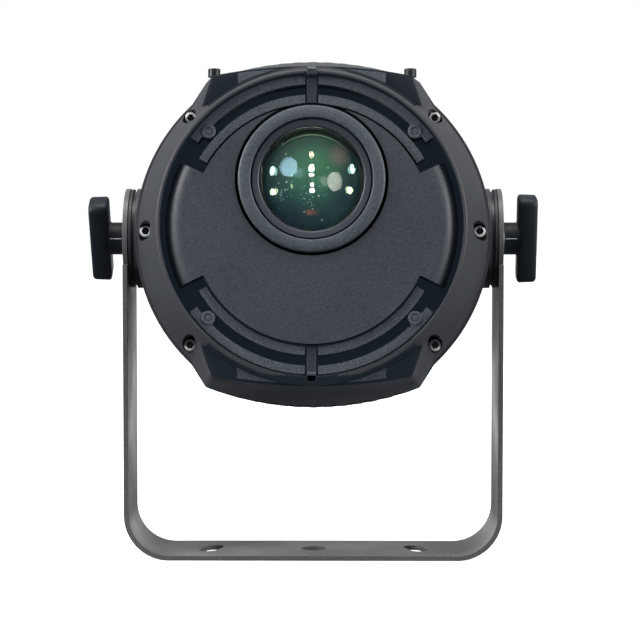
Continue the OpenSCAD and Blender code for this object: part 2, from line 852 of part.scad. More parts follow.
// The steel lug for a safety cable, with its two rivets.
module safety_eye() {
    reach = 16;
    foot_t = 2.5;
    foot_w = 10;
    color([0.6, 0.6, 0.62]) on_head() translate([0, safety_y, panel_out]) {
        difference() {
            union() {
                plate(26, foot_w, -foot_t, 0);
                translate([-eye_t / 2, 0, -reach]) rotate([0, 90, 0]) cylinder(r = eye_hole_r + 3.5, h = eye_t);
                translate([-eye_t / 2, -foot_w / 2, -reach]) cube([eye_t, foot_w, reach - 1]);
            }
            translate([-eye_t, 0, -reach]) rotate([0, 90, 0]) cylinder(r = eye_hole_r, h = 2 * eye_t);
        }
        for (s = [-1, 1]) translate([s * eye_screw_x, 0, 0]) {
            translate([0, 0, -foot_t - 1.5]) cylinder(r = eye_screw_r, h = foot_t + back_t + 2.5);
            translate([0, 0, -foot_t - 2]) cylinder(r = 2.6, h = 2);
        }
    }
}

module display_window() {
    color([0.1, 0.12, 0.14]) on_head() translate([0, display_y, 0])
        plate(display_size[0] - fit_gap, display_size[1] - fit_gap, panel_out + 0.2, panel_out + display_seat);
}

module display_module() {
    color([0.2, 0.3, 0.4]) on_head() translate([0, display_y, 0])
        plate(display_size[0] + 2, display_size[1] + 2, back_s, menu_board_s);
}

module menu_board() {
    board_w = 2 * (button_x + button_pitch + 13);
    board_h = display_size[1] + 5;
    color([0.05, 0.3, 0.16]) on_head() union() {
        difference() {
            translate([0, display_y, 0]) plate(board_w, board_h, menu_board_s, menu_board_s + board_t);
            post_places() translate([0, 0, menu_board_s - 1]) cylinder(r = post_r + 1, h = board_t + 2);
        }
        for (x = button_places) translate([x, display_y, 0]) plate(6, 6, menu_board_s - switch_h, menu_board_s);
        // Spacers to the back cover
        for (s = [-1, 1]) translate([s * (board_w / 2 - 3), display_y, back_s])
            cylinder(r = 2, h = display_t + tiny);
    }
}

// A button with a flange behind the cover, which leaves room for its travel above the switch.
module menu_button(i) {
    proud = button_travel + 0.9;
    flange_t = 0.5;
    flange_in = menu_board_s - switch_h - button_travel - flange_t - 0.2;
    color([0.3, 0.3, 0.31]) on_head() translate([button_places[i], display_y, 0]) {
        translate([0, 0, panel_out - proud]) cylinder(r = button_r, h = flange_in + 0.1 - panel_out + proud);
        translate([0, 0, flange_in]) cylinder(r = button_r + 1, h = flange_t);
    }
}

// A round connector body with its flange on the back cover.
module socket_body(well) {
    difference() {
        translate([0, 0, socket_face]) {
            cylinder(r = socket_flange_r, h = socket_flange_t);
            cylinder(r = socket_barrel_r, h = socket_depth + 6);
        }
        if (well) translate([0, 0, socket_face - 1]) cylinder(r = socket_well_r, h = socket_depth + 1);
    }
}

// The three flat contacts of a mains connector, grown all round by gap.
module mains_contacts(gap, z0, z1) {
    for (p = [[-5.5, 2], [5.5, 2], [0, 5.6]]) translate([p[0], p[1], 0])
        plate(3 + 2 * gap, 1.4 + 2 * gap, z0, z1);
}

// The three round contacts of a data connector.
module data_contacts(r, z0, z1) {
    for (a = [90, 210, 330]) rotate([0, 0, a]) translate([5, 0, z0]) cylinder(r = r, h = z1 - z0);
}

module power_inlet() {
    floor_z = socket_face + socket_depth;
    color([0.16, 0.3, 0.55]) on_head() socket_place(0) {
        socket_body(true);
        mains_contacts(0, floor_z - contact_len, floor_z + 1);
    }
}

module power_outlet() {
    color([0.5, 0.52, 0.54]) on_head() socket_place(1) difference() {
        socket_body(false);
        mains_contacts(contact_gap, socket_face - 1, socket_face + contact_len + 1);
    }
}

module data_inlet() {
    floor_z = socket_face + socket_depth;
    color([0.1, 0.1, 0.11]) on_head() socket_place(2) {
        socket_body(true);
        data_contacts(data_pin_r, floor_z - contact_len, floor_z + 1);
    }
}

module data_outlet() {
    color([0.1, 0.1, 0.11]) on_head() socket_place(3) difference() {
        socket_body(false);
        data_contacts(data_pin_r + contact_gap, socket_face - 1, socket_face + contact_len + 1);
    }
}

module fuse_holder() {
    cap_h = 4.5;
    slot_d = 0.8;
    color([0.08, 0.08, 0.09]) on_head() translate(concat(fuse_place, panel_out)) difference() {
        union() {
            translate([0, 0, -cap_h]) cylinder(r = fuse_r + 1.5, h = cap_h);
            translate([0, 0, -1]) cylinder(r = fuse_r, h = 26);
        }
        plate(10, 1.4, -cap_h - 1, -cap_h + slot_d + 0.5);
    }
}

// ---- Inside ----

module post_places() {
    for (x = [-1, 1], y = [-1, 1]) translate([x * post_half, lens_y + y * post_half, 0]) children();
}

module chassis_posts() {
    color([0.75, 0.75, 0.76]) on_head() post_places() translate([0, 0, back_s])
        cylinder(r = post_r, h = chassis_back - back_s);
}

// The round sheet that carries the motors, cut flat below, with its screw holes over the posts.
module chassis_plate() {
    plate_r = drum_r - wall - 12.5;
    flat_y = -46;
    hole_h = 4 * chassis_t;
    color([0.7, 0.71, 0.72]) on_head() translate([0, 0, chassis_back]) difference() {
        cylinder(r = plate_r, h = chassis_t);
        translate([-plate_r, flat_y - plate_r, -1]) cube([2 * plate_r, plate_r, hole_h]);
        translate([0, 0, -1]) {
            translate([0, lens_y, 0]) cylinder(r = gate_r + 2, h = hole_h);
            for (s = [-1, 1]) translate([s * wheel_x, wheel_y, 0]) cylinder(r = motor_nose_r + 0.1, h = hole_h);
            post_places() cylinder(r = post_hole_r, h = hole_h);
        }
    }
}

module heat_sink() {
    side = 2 * post_half + 10;
    fin_t = 1.4;
    fin_pitch = (2 * post_half - 14) / (fin_n - 1);
    color([0.72, 0.73, 0.75]) on_head() difference() {
        translate([0, lens_y, 0]) {
            plate(side, side, sink_front - sink_base, sink_front);
            for (i = [0:fin_n - 1]) translate([(i - (fin_n - 1) / 2) * fin_pitch, 0, 0])
                plate(fin_t, side - 4, sink_back, sink_front - 1);
        }
        post_places() translate([0, 0, sink_back - 1])
            cylinder(r = post_r + run_gap, h = sink_front - sink_back + 2);
    }
}

module led_board() {
    color([0.9, 0.9, 0.9]) on_head() translate([0, lens_y, 0]) plate(28, 28, sink_front, sink_front + board_t);
}

module led_emitter() {
    color([0.95, 0.85, 0.3]) on_head() translate([0, lens_y, sink_front + board_t]) union() {
        cylinder(r = 6, h = 1);
        intersection() {
            sphere(r = 5);
            cylinder(r = 6, h = 6);
        }
    }
}

// The short tube between the heat sink and the chassis plate, cut away round the motors.
module condenser_holder() {
    length = chassis_back - sink_front;
    foot_t = 3;
    board_room = 29;
    color([0.1, 0.1, 0.11]) on_head() translate([0, lens_y, sink_front]) difference() {
        union() {
            cylinder(r = condenser_r + 4, h = length);
            plate(2 * condenser_r + 14, 24, 0, foot_t);
        }
        translate([0, 0, -1]) cylinder(r = condenser_r - 1.5, h = length + 2);
        intersection() {
            translate([0, 0, -1]) cylinder(r = condenser_r + 3, h = foot_t + 1);
            plate(board_room, board_room, -1, foot_t);
        }
        translate([0, 0, condenser_seat]) cylinder(r = condenser_r + 0.1, h = 8);
        for (s = [-1, 1]) translate([s * wheel_x, -wheel_drop, length - motor_len - 4])
            cylinder(r = motor_r + 0.5, h = motor_len + 8);
    }
}

module condenser_lens() {
    dome_r = 26;
    dome_h = 11;
    color([0.75, 0.85, 0.9]) on_head() translate([0, lens_y, sink_front + condenser_seat]) union() {
        cylinder(r = condenser_r, h = 3);
        intersection() {
            translate([0, 0, dome_h - dome_r]) sphere(r = dome_r);
            cylinder(r = condenser_r - 2, h = dome_h + 1);
        }
    }
}

module wheel_motor(side) {
    color([0.25, 0.25, 0.26]) on_head() translate([side * wheel_x, wheel_y, 0]) difference() {
        union() {
            translate([0, 0, chassis_back - motor_len]) cylinder(r = motor_r, h = motor_len);
            translate([0, 0, chassis_back - tiny]) cylinder(r = motor_nose_r, h = chassis_t);
        }
        translate([0, 0, chassis_back - motor_len + motor_end])
            cylinder(r = shaft_r + run_gap, h = 2 * motor_len);
    }
}

module wheel_shaft(side, front) {
    back = chassis_back - motor_len + motor_end + 0.3;
    on_head() translate([side * wheel_x, wheel_y, back]) cylinder(r = shaft_r, h = front - back);
}

module colour_shaft() {
    color([0.7, 0.7, 0.72]) wheel_shaft(-1, colour_s + 2);
}

module effect_shaft() {
    color([0.7, 0.7, 0.72]) wheel_shaft(1, effect_s + 2);
}

module filter_places() {
    start = atan2(wheel_drop, wheel_x);
    for (i = [0:filter_n - 1]) rotate([0, 0, start + i * 360 / filter_n])
        translate([wheel_gate, 0, 0]) children();
}

module colour_wheel() {
    color([0.5, 0.5, 0.52]) on_head() translate([-wheel_x, wheel_y, colour_s]) difference() {
        union() {
            cylinder(r = wheel_r, h = 1);
            translate([0, 0, -1.5]) cylinder(r = 5, h = 3.5);
        }
        translate([0, 0, -5]) cylinder(r = shaft_r, h = 10);
        filter_places() translate([0, 0, -1]) cylinder(r = gate_r, h = 3);
    }
}

module colour_filters() {
    color([0.8, 0.3, 0.3]) on_head() translate([-wheel_x, wheel_y, colour_s]) filter_places()
        translate([0, 0, 1]) cylinder(r = gate_r + 1, h = 1);
}

module effect_glass() {
    color([0.75, 0.85, 0.9]) on_head() translate([wheel_x, wheel_y, effect_s])
        ring(wheel_r, 6, 0, 2);
}

module effect_hub() {
    color([0.5, 0.5, 0.52]) on_head() translate([wheel_x, wheel_y, effect_s]) difference() {
        union() {
            translate([0, 0, -1.2]) cylinder(r = 9, h = 1.2);
            translate([0, 0, -1.2]) cylinder(r = 5.9, h = 3.2);
        }
        translate([0, 0, -5]) cylinder(r = shaft_r, h = 20);
    }
}

module fan_frame() {
    hole_at = fan_side / 2 - 5;
    cup_h = 4;
    color([0.08, 0.08, 0.09]) on_head() translate([0, lens_y, fan_back]) {
        difference() {
            plate(fan_side, fan_side, 0, fan_t);
            translate([0, 0, -1]) cylinder(r = fan_bore, h = fan_t + 2);
            for (x = [-1, 1], y = [-1, 1]) translate([x * hole_at, y * hole_at, -1])
                cylinder(r = 2.1, h = fan_t + 2);
        }
        difference() {
            union() {
                for (a = [45, 135]) rotate([0, 0, a]) plate(2 * fan_bore + 1, 3, 0, 2);
                cylinder(r = fan_hub_r, h = cup_h);
            }
            translate([0, 0, 1]) cylinder(r = shaft_r + run_gap, h = cup_h);
        }
        // Pads that seat the fan on the back cover
        for (x = [-1, 1]) translate([x * (fan_side / 2 - 4), 0, back_s - fan_back])
            cylinder(r = 3, h = fan_back - back_s + tiny);
    }
}

// The rotor, whose slanted blades are trimmed to the hub's depth.
module fan_rotor() {
    reach = fan_bore - 1.2;
    back = 4.4;
    depth = fan_t - 0.8 - back;
    blade_t = 1.2;
    blade_w = 12;
    pitch_deg = 50;
    color([0.1, 0.1, 0.11]) on_head() translate([0, lens_y, fan_back]) {
        translate([0, 0, back]) cylinder(r = fan_hub_r, h = depth);
        translate([0, 0, 1.3]) cylinder(r = shaft_r, h = 5);
        translate([0, 0, back]) intersection() {
            for (i = [0:blade_n - 1]) rotate([0, 0, i * 360 / blade_n])
                translate([fan_hub_r - 1, 0, depth / 2]) rotate([pitch_deg, 0, 0])
                    translate([0, -blade_w / 2, -blade_t / 2]) cube([reach, blade_w, blade_t]);
            cylinder(r = reach, h = depth);
        }
    }
}

// The mains supply: a board with its transformer, a block and two round capacitors.
module power_board() {
    color([0.1, 0.35, 0.2]) on_head() translate([0, power_board_y, 0]) {
        translate([-42, -board_t, -88]) cube([84, board_t, 58]);
        translate([-34, -tiny, -62]) cube([22, 12, 26]);
        translate([-4, -tiny, -60]) cube([14, 8, 14]);
        for (x = [18, 30]) translate([x, -tiny, -48]) rotate([-90, 0, 0]) cylinder(r = 5, h = 13);
    }
}

yoke();
front_cover();
cover_gasket();
rear_housing();
face_panel();
face_ribs();
lens_bezel();
lens_retainer();
objective_lens();
lens_seal();
lens_tube();
pivot_insert(-1);  // pivot_insert_left
pivot_insert(1);  // pivot_insert_right
pivot_plate(-1);  // pivot_plate_left
pivot_plate(1);  // pivot_plate_right
friction_disc(-1);  // friction_disc_left
friction_disc(1);  // friction_disc_right
cover_screws();
shoulder_screws();
knob_washer(-1);  // knob_washer_left
knob_washer(1);  // knob_washer_right
knob_stud(-1);  // knob_stud_left
knob_stud(1);  // knob_stud_right
tilt_knob(-1, tee_turn_left);  // tilt_knob_left
tilt_knob(1, tee_turn_right);  // tilt_knob_right
back_cover();
back_screws();
safety_eye();
display_window();
display_module();
menu_board();
menu_button(0);  // menu_button_1
menu_button(1);  // menu_button_2
menu_button(2);  // menu_button_3
menu_button(3);  // menu_button_4
power_inlet();
power_outlet();
data_inlet();
data_outlet();
fuse_holder();
chassis_plate();
chassis_posts();
heat_sink();
led_board();
led_emitter();
condenser_holder();
condenser_lens();
wheel_motor(-1);  // colour_motor
wheel_motor(1);  // effect_motor
colour_wheel();
colour_filters();
colour_shaft();
effect_glass();
effect_hub();
effect_shaft();
fan_frame();
fan_rotor();
power_board();
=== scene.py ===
"""Looks of the par-style projector: shells, ribs, coated optics, finishes and the studio."""
import json
from math import acos, asin, atan2, cos, degrees, hypot, pi, radians, sin, sqrt

import bmesh
import bpy
import numpy as np
from mathutils import Matrix, Vector

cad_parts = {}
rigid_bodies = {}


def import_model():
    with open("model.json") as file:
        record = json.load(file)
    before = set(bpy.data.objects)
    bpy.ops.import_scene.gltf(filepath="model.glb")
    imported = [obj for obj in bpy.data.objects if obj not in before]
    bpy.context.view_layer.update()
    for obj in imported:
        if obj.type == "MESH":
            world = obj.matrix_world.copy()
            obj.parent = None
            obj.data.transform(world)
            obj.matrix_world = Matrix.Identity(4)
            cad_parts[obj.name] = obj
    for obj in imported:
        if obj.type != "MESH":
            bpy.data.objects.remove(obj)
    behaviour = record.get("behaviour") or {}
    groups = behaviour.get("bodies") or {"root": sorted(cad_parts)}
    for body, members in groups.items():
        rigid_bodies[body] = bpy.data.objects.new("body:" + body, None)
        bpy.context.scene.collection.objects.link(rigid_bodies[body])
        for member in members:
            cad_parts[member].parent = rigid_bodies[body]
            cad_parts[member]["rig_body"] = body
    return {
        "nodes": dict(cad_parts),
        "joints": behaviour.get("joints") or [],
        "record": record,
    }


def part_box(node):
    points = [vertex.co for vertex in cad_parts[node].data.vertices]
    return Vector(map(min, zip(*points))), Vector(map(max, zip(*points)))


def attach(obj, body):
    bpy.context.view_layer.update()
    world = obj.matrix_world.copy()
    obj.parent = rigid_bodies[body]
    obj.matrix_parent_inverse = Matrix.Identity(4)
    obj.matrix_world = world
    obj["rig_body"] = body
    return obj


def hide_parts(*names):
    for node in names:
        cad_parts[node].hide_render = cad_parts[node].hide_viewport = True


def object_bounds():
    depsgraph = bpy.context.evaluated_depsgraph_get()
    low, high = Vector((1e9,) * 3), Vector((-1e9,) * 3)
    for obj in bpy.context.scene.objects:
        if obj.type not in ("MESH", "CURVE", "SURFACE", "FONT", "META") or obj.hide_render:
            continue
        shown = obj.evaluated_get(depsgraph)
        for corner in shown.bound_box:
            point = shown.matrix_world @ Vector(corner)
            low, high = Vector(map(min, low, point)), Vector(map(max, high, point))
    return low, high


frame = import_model()
CAD_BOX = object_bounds()
LENS_PIECES = bpy.data.collections.new("lens_pieces")
BACK_PIECES = bpy.data.collections.new("back_pieces")

MM = 0.001
JOINTS = {joint["name"]: joint for joint in frame["joints"]}
AXIS_HEIGHT = JOINTS["head_tilt"]["pos_m"][2]
LOOK = Vector(JOINTS["fan_spin"]["axis"])
REST_TILT = asin(LOOK.z)
# The head's own frame: x right, y up, z forward, in millimetres, about the tilt axis
HEAD = (Matrix.Translation((0, 0, AXIS_HEIGHT))
        @ Matrix.Rotation(pi / 2 - REST_TILT, 4, "X") @ Matrix.Scale(MM, 4))
HEAD_BACK = HEAD.inverted()


def body_of_node(node):
    """The body that a CAD node rides on."""
    return frame["nodes"][node]["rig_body"]


def head_box(node):
    """A node's lowest and highest corner in the head's frame, in millimetres."""
    points = [HEAD_BACK @ v.co for v in frame["nodes"][node].data.vertices]
    return (Vector([min(p[i] for p in points) for i in range(3)]),
            Vector([max(p[i] for p in points) for i in range(3)]))


def new_object(name, data):
    """A new object in the scene."""
    made = bpy.data.objects.new(name, data)
    bpy.context.scene.collection.objects.link(made)
    return made


def feed(tree, node, inputs):
    """Sets a node's inputs, each to a constant or to another socket. A colour is a triple."""
    for name, value in inputs.items():
        socket = node.inputs[name]
        if isinstance(value, bpy.types.NodeSocket):
            tree.links.new(value, socket)
        else:
            socket.default_value = (*value, 1) if socket.type == "RGBA" else value
    return node


def add_node(tree, kind, inputs, operation=None):
    """A new node with its inputs, and its operation where it has one."""
    node = tree.nodes.new(kind)
    if operation:
        node.operation = operation
    return feed(tree, node, inputs)


# ---- Camera and studio ----

def aim(obj, target):
    """Turns an object so that its -Z axis looks at target."""
    obj.rotation_euler = (Vector(target) - obj.location).to_track_quat("-Z", "Y").to_euler()


def make_camera():
    """A long lens in front of the light, a little above its tilt axis."""
    data = bpy.data.cameras.new("studio_camera")
    data.sensor_width = 36
    data.lens = 121
    data.clip_start = 0.01
    cam = new_object("studio_camera", data)
    cam.location = (0.0135, -1.107, 0.183)
    aim(cam, (0.0033, 0, 0.121))
    bpy.context.scene.camera = cam


def softbox(name, place, target, size, watts, colour=(1, 1, 1), shape="RECTANGLE", only=None):
    """One studio light with a flat face, which may light only one collection."""
    data = bpy.data.lights.new(name, "AREA")
    data.shape = shape
    data.size, data.size_y = size
    data.energy = watts
    data.color = colour
    lamp = new_object(name, data)
    lamp.location = place
    aim(lamp, target)
    lamp.visible_camera = False
    if only:
        lamp.light_linking.receiver_collection = only


def make_floor():
    """A plain white floor."""
    far = 6
    mesh = bpy.data.meshes.new("floor")
    corners = [(-far, -far, 0), (far, -far, 0), (far, far, 0), (-far, far, 0)]
    mesh.from_pydata(corners, [], [(0, 1, 2, 3)])
    floor = new_object("floor", mesh)
    paint, tree, shader = start_material("white_floor")
    feed(tree, shader, {"Base Color": (0.9, 0.9, 0.9), "Roughness": 0.9,
                        "Emission Color": (1, 1, 1), "Emission Strength": 0.9})
    mesh.materials.append(paint)
    # The floor is lit for itself and throws no light back on the dark shells
    floor.visible_diffuse = False
    floor.visible_glossy = False
    floor.visible_transmission = False
    floor.visible_shadow = False


def make_world():
    """Soft light from all round, strongest overhead."""
    world = bpy.data.worlds.new("studio")
    bpy.context.scene.world = world
    world.use_nodes = True
    tree = world.node_tree
    place = tree.nodes.new("ShaderNodeTexCoord")
    split = add_node(tree, "ShaderNodeSeparateXYZ", {"Vector": place.outputs["Generated"]})
    height = remap(tree, split.outputs["Z"], 0, 1, -1, 1)
    ramp = add_node(tree, "ShaderNodeValToRGB", {"Fac": height})
    ramp.color_ramp.elements[0].color = (0.3, 0.32, 0.36, 1)
    ramp.color_ramp.elements[1].color = (1.0, 1.0, 1.0, 1)
    middle = ramp.color_ramp.elements.new(0.5)
    middle.color = (0.2, 0.225, 0.27, 1)
    soft = feed(tree, tree.nodes["Background"], {"Color": ramp.outputs["Color"], "Strength": 0.5})
    # The object stands before plain white, and the soft light above only shines on it
    white = add_node(tree, "ShaderNodeBackground", {"Color": (1, 1, 1)})
    path = tree.nodes.new("ShaderNodeLightPath")
    choose = add_node(tree, "ShaderNodeMixShader", {
        "Fac": path.outputs["Is Camera Ray"], 1: soft.outputs["Background"],
        2: white.outputs["Background"]})
    feed(tree, tree.nodes["World Output"], {"Surface": choose.outputs["Shader"]})


def make_studio():
    """A white floor, softboxes all round, and small lamps that glint only in the lens."""
    make_world()
    bpy.context.scene.view_settings.view_transform = "Standard"
    head = (0, 0, AXIS_HEIGHT)
    softbox("left_softbox", (-1.3, -0.5, 0.62), head, (0.7, 1.0), 27)
    softbox("right_softbox", (1.3, -0.5, 0.55), head, (0.7, 1.0), 20)
    softbox("top_softbox", (0, -0.25, 1.5), head, (1.0, 0.6), 13)
    softbox("back_softbox", (0, 1.3, 0.9), head, (1.2, 0.6), 0.8)
    softbox("rear_face_softbox", (0.25, 1.4, 0.55), (0, 0.12, AXIS_HEIGHT), (0.9, 0.9), 9,
            only=BACK_PIECES)
    softbox("low_softbox", (0, 1.25, 0.05), (0, 0, 0.05), (1.3, 0.3), 1.7)
    lens = Vector((0, -0.09, AXIS_HEIGHT + 0.03))
    white, peach, mint = (1, 1, 1), (1, 0.72, 0.5), (0.6, 1, 0.95)
    leaf, lilac, sky, cream = (0.75, 1, 0.6), (0.92, 0.75, 1), (0.5, 0.8, 1), (1, 0.93, 0.86)
    # Name, degrees to the right, degrees up, width, height, glow and colour
    small_lamps = [
        ("upper", -1, 33.5, 0.1, 0.1, 26, peach), ("middle", -1, 21.9, 0.11, 0.14, 60, white),
        ("close", -1, 16.1, 0.1, 0.05, 50, white), ("lower", -0.5, 7.7, 0.08, 0.085, 50, lilac),
        ("lowest", -0.5, 3.1, 0.1, 0.1, 60, lilac),
        ("left_slit", -34.9, 18.4, 0.09, 0.17, 50, mint),
        ("right_slit", 34.9, 19.9, 0.09, 0.17, 50, mint),
        ("left_spot", -33.1, 1.9, 0.11, 0.14, 40, leaf),
        ("right_spot", 31.1, 3.1, 0.11, 0.14, 40, leaf),
        ("left_panel", -21.5, 22.5, 0.34, 0.38, 6.5, sky),
        ("right_panel", 18.9, 10.5, 0.28, 0.38, 4.5, cream),
    ]
    reach = 1.35
    for name, right, up, width, height, glow, colour in small_lamps:
        a, b = radians(right), radians(up)
        way = Vector((sin(a) * cos(b), -cos(a) * cos(b), sin(b)))
        watts = glow * pi * pi / 4 * width * height
        softbox(name + "_lamp", lens + reach * way, lens, (width, height), watts, colour,
                "ELLIPSE", LENS_PIECES)
    make_floor()


# ---- Materials ----

def start_material(name):
    """A new material, its node tree and its Principled shader."""
    made = bpy.data.materials.new(name)
    made.use_nodes = True
    return made, made.node_tree, made.node_tree.nodes["Principled BSDF"]


def object_place(tree):
    """The piece's own coordinates, in metres."""
    return tree.nodes.new("ShaderNodeTexCoord").outputs["Object"]


def object_noise(tree, scale, detail=3.0, rough=0.55):
    """Noise in metres on the piece's own coordinates."""
    return add_node(tree, "ShaderNodeTexNoise", {
        "Scale": scale, "Detail": detail, "Roughness": rough,
        "Vector": object_place(tree)}).outputs["Fac"]


def remap(tree, value, low, high, from_low=0.3, from_high=0.7):
    """Maps a value range to another."""
    return add_node(tree, "ShaderNodeMapRange", {
        "From Min": from_low, "From Max": from_high, "To Min": low, "To Max": high,
        "Value": value}).outputs["Result"]


def tint(tree, value, dark, light):
    """Blends two colours, each a triple or a socket, by a value."""
    node = tree.nodes.new("ShaderNodeMix")
    node.data_type = "RGBA"
    return feed(tree, node, {"A": dark, "B": light, "Factor": value}).outputs["Result"]


def bump(tree, height, strength, depth):
    """A bump from a height, of that real depth in metres."""
    return add_node(tree, "ShaderNodeBump", {
        "Strength": strength, "Distance": depth, "Height": height}).outputs["Normal"]


def textured(name, colour, rough, grain=1600, depth=6e-5, speckle=0.25, metal=0.0, mottle=0.1,
             gloss=0.5, glow=None):
    """A moulded or coated surface with a fine grain, a faint speckle and a slow change of gloss,
    and, where glow is given, a glow painted in as light.
    """
    made, tree, shader = start_material(name)
    fine = object_noise(tree, grain, 2.0)
    slow = object_noise(tree, 22, 3.0)
    dark = [c * (1 - speckle) for c in colour]
    light = [c * (1 + speckle) for c in colour]
    feed(tree, shader, {
        "Base Color": tint(tree, remap(tree, fine, 0, 1), dark, light),
        "Roughness": remap(tree, slow, rough - mottle, rough + mottle),
        "Normal": bump(tree, fine, 0.6, depth), "Metallic": metal, "Specular IOR Level": gloss})
    if glow:
        feed(tree, shader, {"Emission Color": glow, "Emission Strength": 1.0})
    return made


def brushed(name, colour, rough, stretch=(1, 1, 12), metal=1.0):
    """Turned or drawn metal with fine lines along one direction."""
    made, tree, shader = start_material(name)
    squeeze = add_node(tree, "ShaderNodeMapping", {
        "Scale": stretch, "Vector": object_place(tree)})
    lines = add_node(tree, "ShaderNodeTexNoise", {
        "Scale": 300, "Detail": 4, "Vector": squeeze.outputs["Vector"]}).outputs["Fac"]
    feed(tree, shader, {
        "Base Color": tint(tree, lines, [c * 0.85 for c in colour], colour),
        "Roughness": remap(tree, lines, rough - 0.08, rough + 0.1),
        "Normal": bump(tree, lines, 0.2, 3e-5), "Metallic": metal})
    return made


def clear_glass(name, colour, rough=0.02):
    """Solid clear or tinted glass."""
    made, tree, shader = start_material(name)
    haze = object_noise(tree, 90, 2.0)
    feed(tree, shader, {
        "Roughness": remap(tree, haze, rough, rough + 0.03), "Base Color": colour,
        "Transmission Weight": 0.95, "IOR": 1.5})
    return made


def lens_skin(name):
    """The lens's clear front, which reflects as glass does but doesn't bend what lies behind."""
    made, tree, shader = start_material(name)
    haze = object_noise(tree, 120, 2.0)
    feed(tree, shader, {
        "Roughness": remap(tree, haze, 0.0, 0.015), "Base Color": (0.97, 1, 0.98),
        "Transmission Weight": 1, "IOR": 1.01, "Coat Weight": 1, "Coat IOR": 1.5,
        "Coat Roughness": 0.02})
    return made


def centred(tree, centre, scale):
    """Object coordinates about a centre in metres, in units of scale metres, with no depth."""
    kind = "ShaderNodeVectorMath"
    shift = add_node(tree, kind, {0: object_place(tree), 1: centre}, "SUBTRACT")
    flat = (1 / scale, 0, 1 / scale)
    return add_node(tree, kind, {0: shift.outputs["Vector"], 1: flat}, "MULTIPLY").outputs["Vector"]


def distance_from(tree, vector, point):
    """Distance of a vector from a point."""
    node = add_node(tree, "ShaderNodeVectorMath", {0: vector, 1: point}, "DISTANCE")
    return node.outputs["Value"]


def product(tree, a, b):
    """The product of two values."""
    return add_node(tree, "ShaderNodeMath", {0: a, 1: b}, "MULTIPLY").outputs["Value"]


def cells(tree, scale):
    """Distance from the nearest of many scattered points."""
    return add_node(tree, "ShaderNodeTexVoronoi", {
        "Scale": scale, "Vector": object_place(tree)}).outputs["Distance"]


def coated_element(name, centre, radius):
    """The coated glass behind the lens, as painted reflection: green, with teal and navy round it,
    painted glints and streaks, a painted highlight on its upper edge, a faint painted glow and a
    little dust.
    """
    made, tree, shader = start_material(name)
    where = centred(tree, centre, radius)

    def near(point, *values):
        """A value that changes with the distance from a point, in lens radii."""
        return remap(tree, distance_from(tree, where, point), *values)

    slow = object_noise(tree, 60, 3.0)
    # Painted reflection of the coating: green in the middle, darker through teal to navy towards
    # the edge
    green, teal, navy = (0.022, 0.105, 0.045), (0.012, 0.04, 0.038), (0.005, 0.014, 0.026)
    inner = near((0.05, 0, 0.25), 0, 1, 0.05, 0.75)
    outer = near((0, 0, 0.3), 0, 1, 0.5, 1.1)
    body = tint(tree, outer, tint(tree, inner, green, teal), navy)
    body = tint(tree, remap(tree, slow, 0, 0.35), body, (0.03, 0.09, 0.06))
    # Painted reflections: a brown one at the upper right and an orange streak at the bottom
    body = tint(tree, near((0.52, 0, 0.5), 0.62, 0, 0.0, 0.26), body, (0.2, 0.125, 0.1))
    for across, strength in ((-0.06, 0.6), (0.01, 0.35), (0.08, 0.2)):
        body = tint(tree, near((across, 0, -0.6), strength, 0, 0, 0.075), body, (0.4, 0.11, 0.06))
    # Painted glints below the middle and at the left, and faint dust specks all over
    painted_sparkle = remap(tree, cells(tree, 760), 1, 0, 0.05, 0.24)
    for at, reach in (((0.0, 0, -0.26), 0.34), ((-0.56, 0, -0.22), 0.22)):
        body = tint(tree, product(tree, painted_sparkle, near(at, 1.5, 0, 0.05, reach)), body,
                    (0.35, 0.6, 0.68))
    specks = remap(tree, cells(tree, 230), 0.8, 0, 0.05, 0.12)
    body = tint(tree, specks, body, (0.5, 0.62, 0.55))
    # A painted highlight: the bright line along the upper edge
    line = product(tree, near((0, 0, 0), 0, 1, 0.885, 0.9), near((0, 0, 0), 1, 0, 0.902, 0.917))
    above = near((0, 0, 1), 0.8, 0, 0.1, 0.8)
    body = tint(tree, product(tree, line, above), body, (0.5, 0.66, 0.4))
    # The whole colour glows faintly as painted light, though the element is no lamp
    feed(tree, shader, {
        "Base Color": body, "Emission Color": body, "Emission Strength": 0.4,
        "Specular IOR Level": 0.25, "Roughness": remap(tree, slow, 0.06, 0.14),
        "Coat Weight": 0.25, "Coat Roughness": 0.06})
    return made


LENS_LOW, LENS_HIGH = head_box("objective_lens")
LENS_CENTRE = (LENS_LOW + LENS_HIGH) / 2
LENS_R = (LENS_HIGH.x - LENS_LOW.x) / 2
LENS_PLACE = HEAD @ Vector((0, LENS_CENTRE.y, LENS_LOW.z))

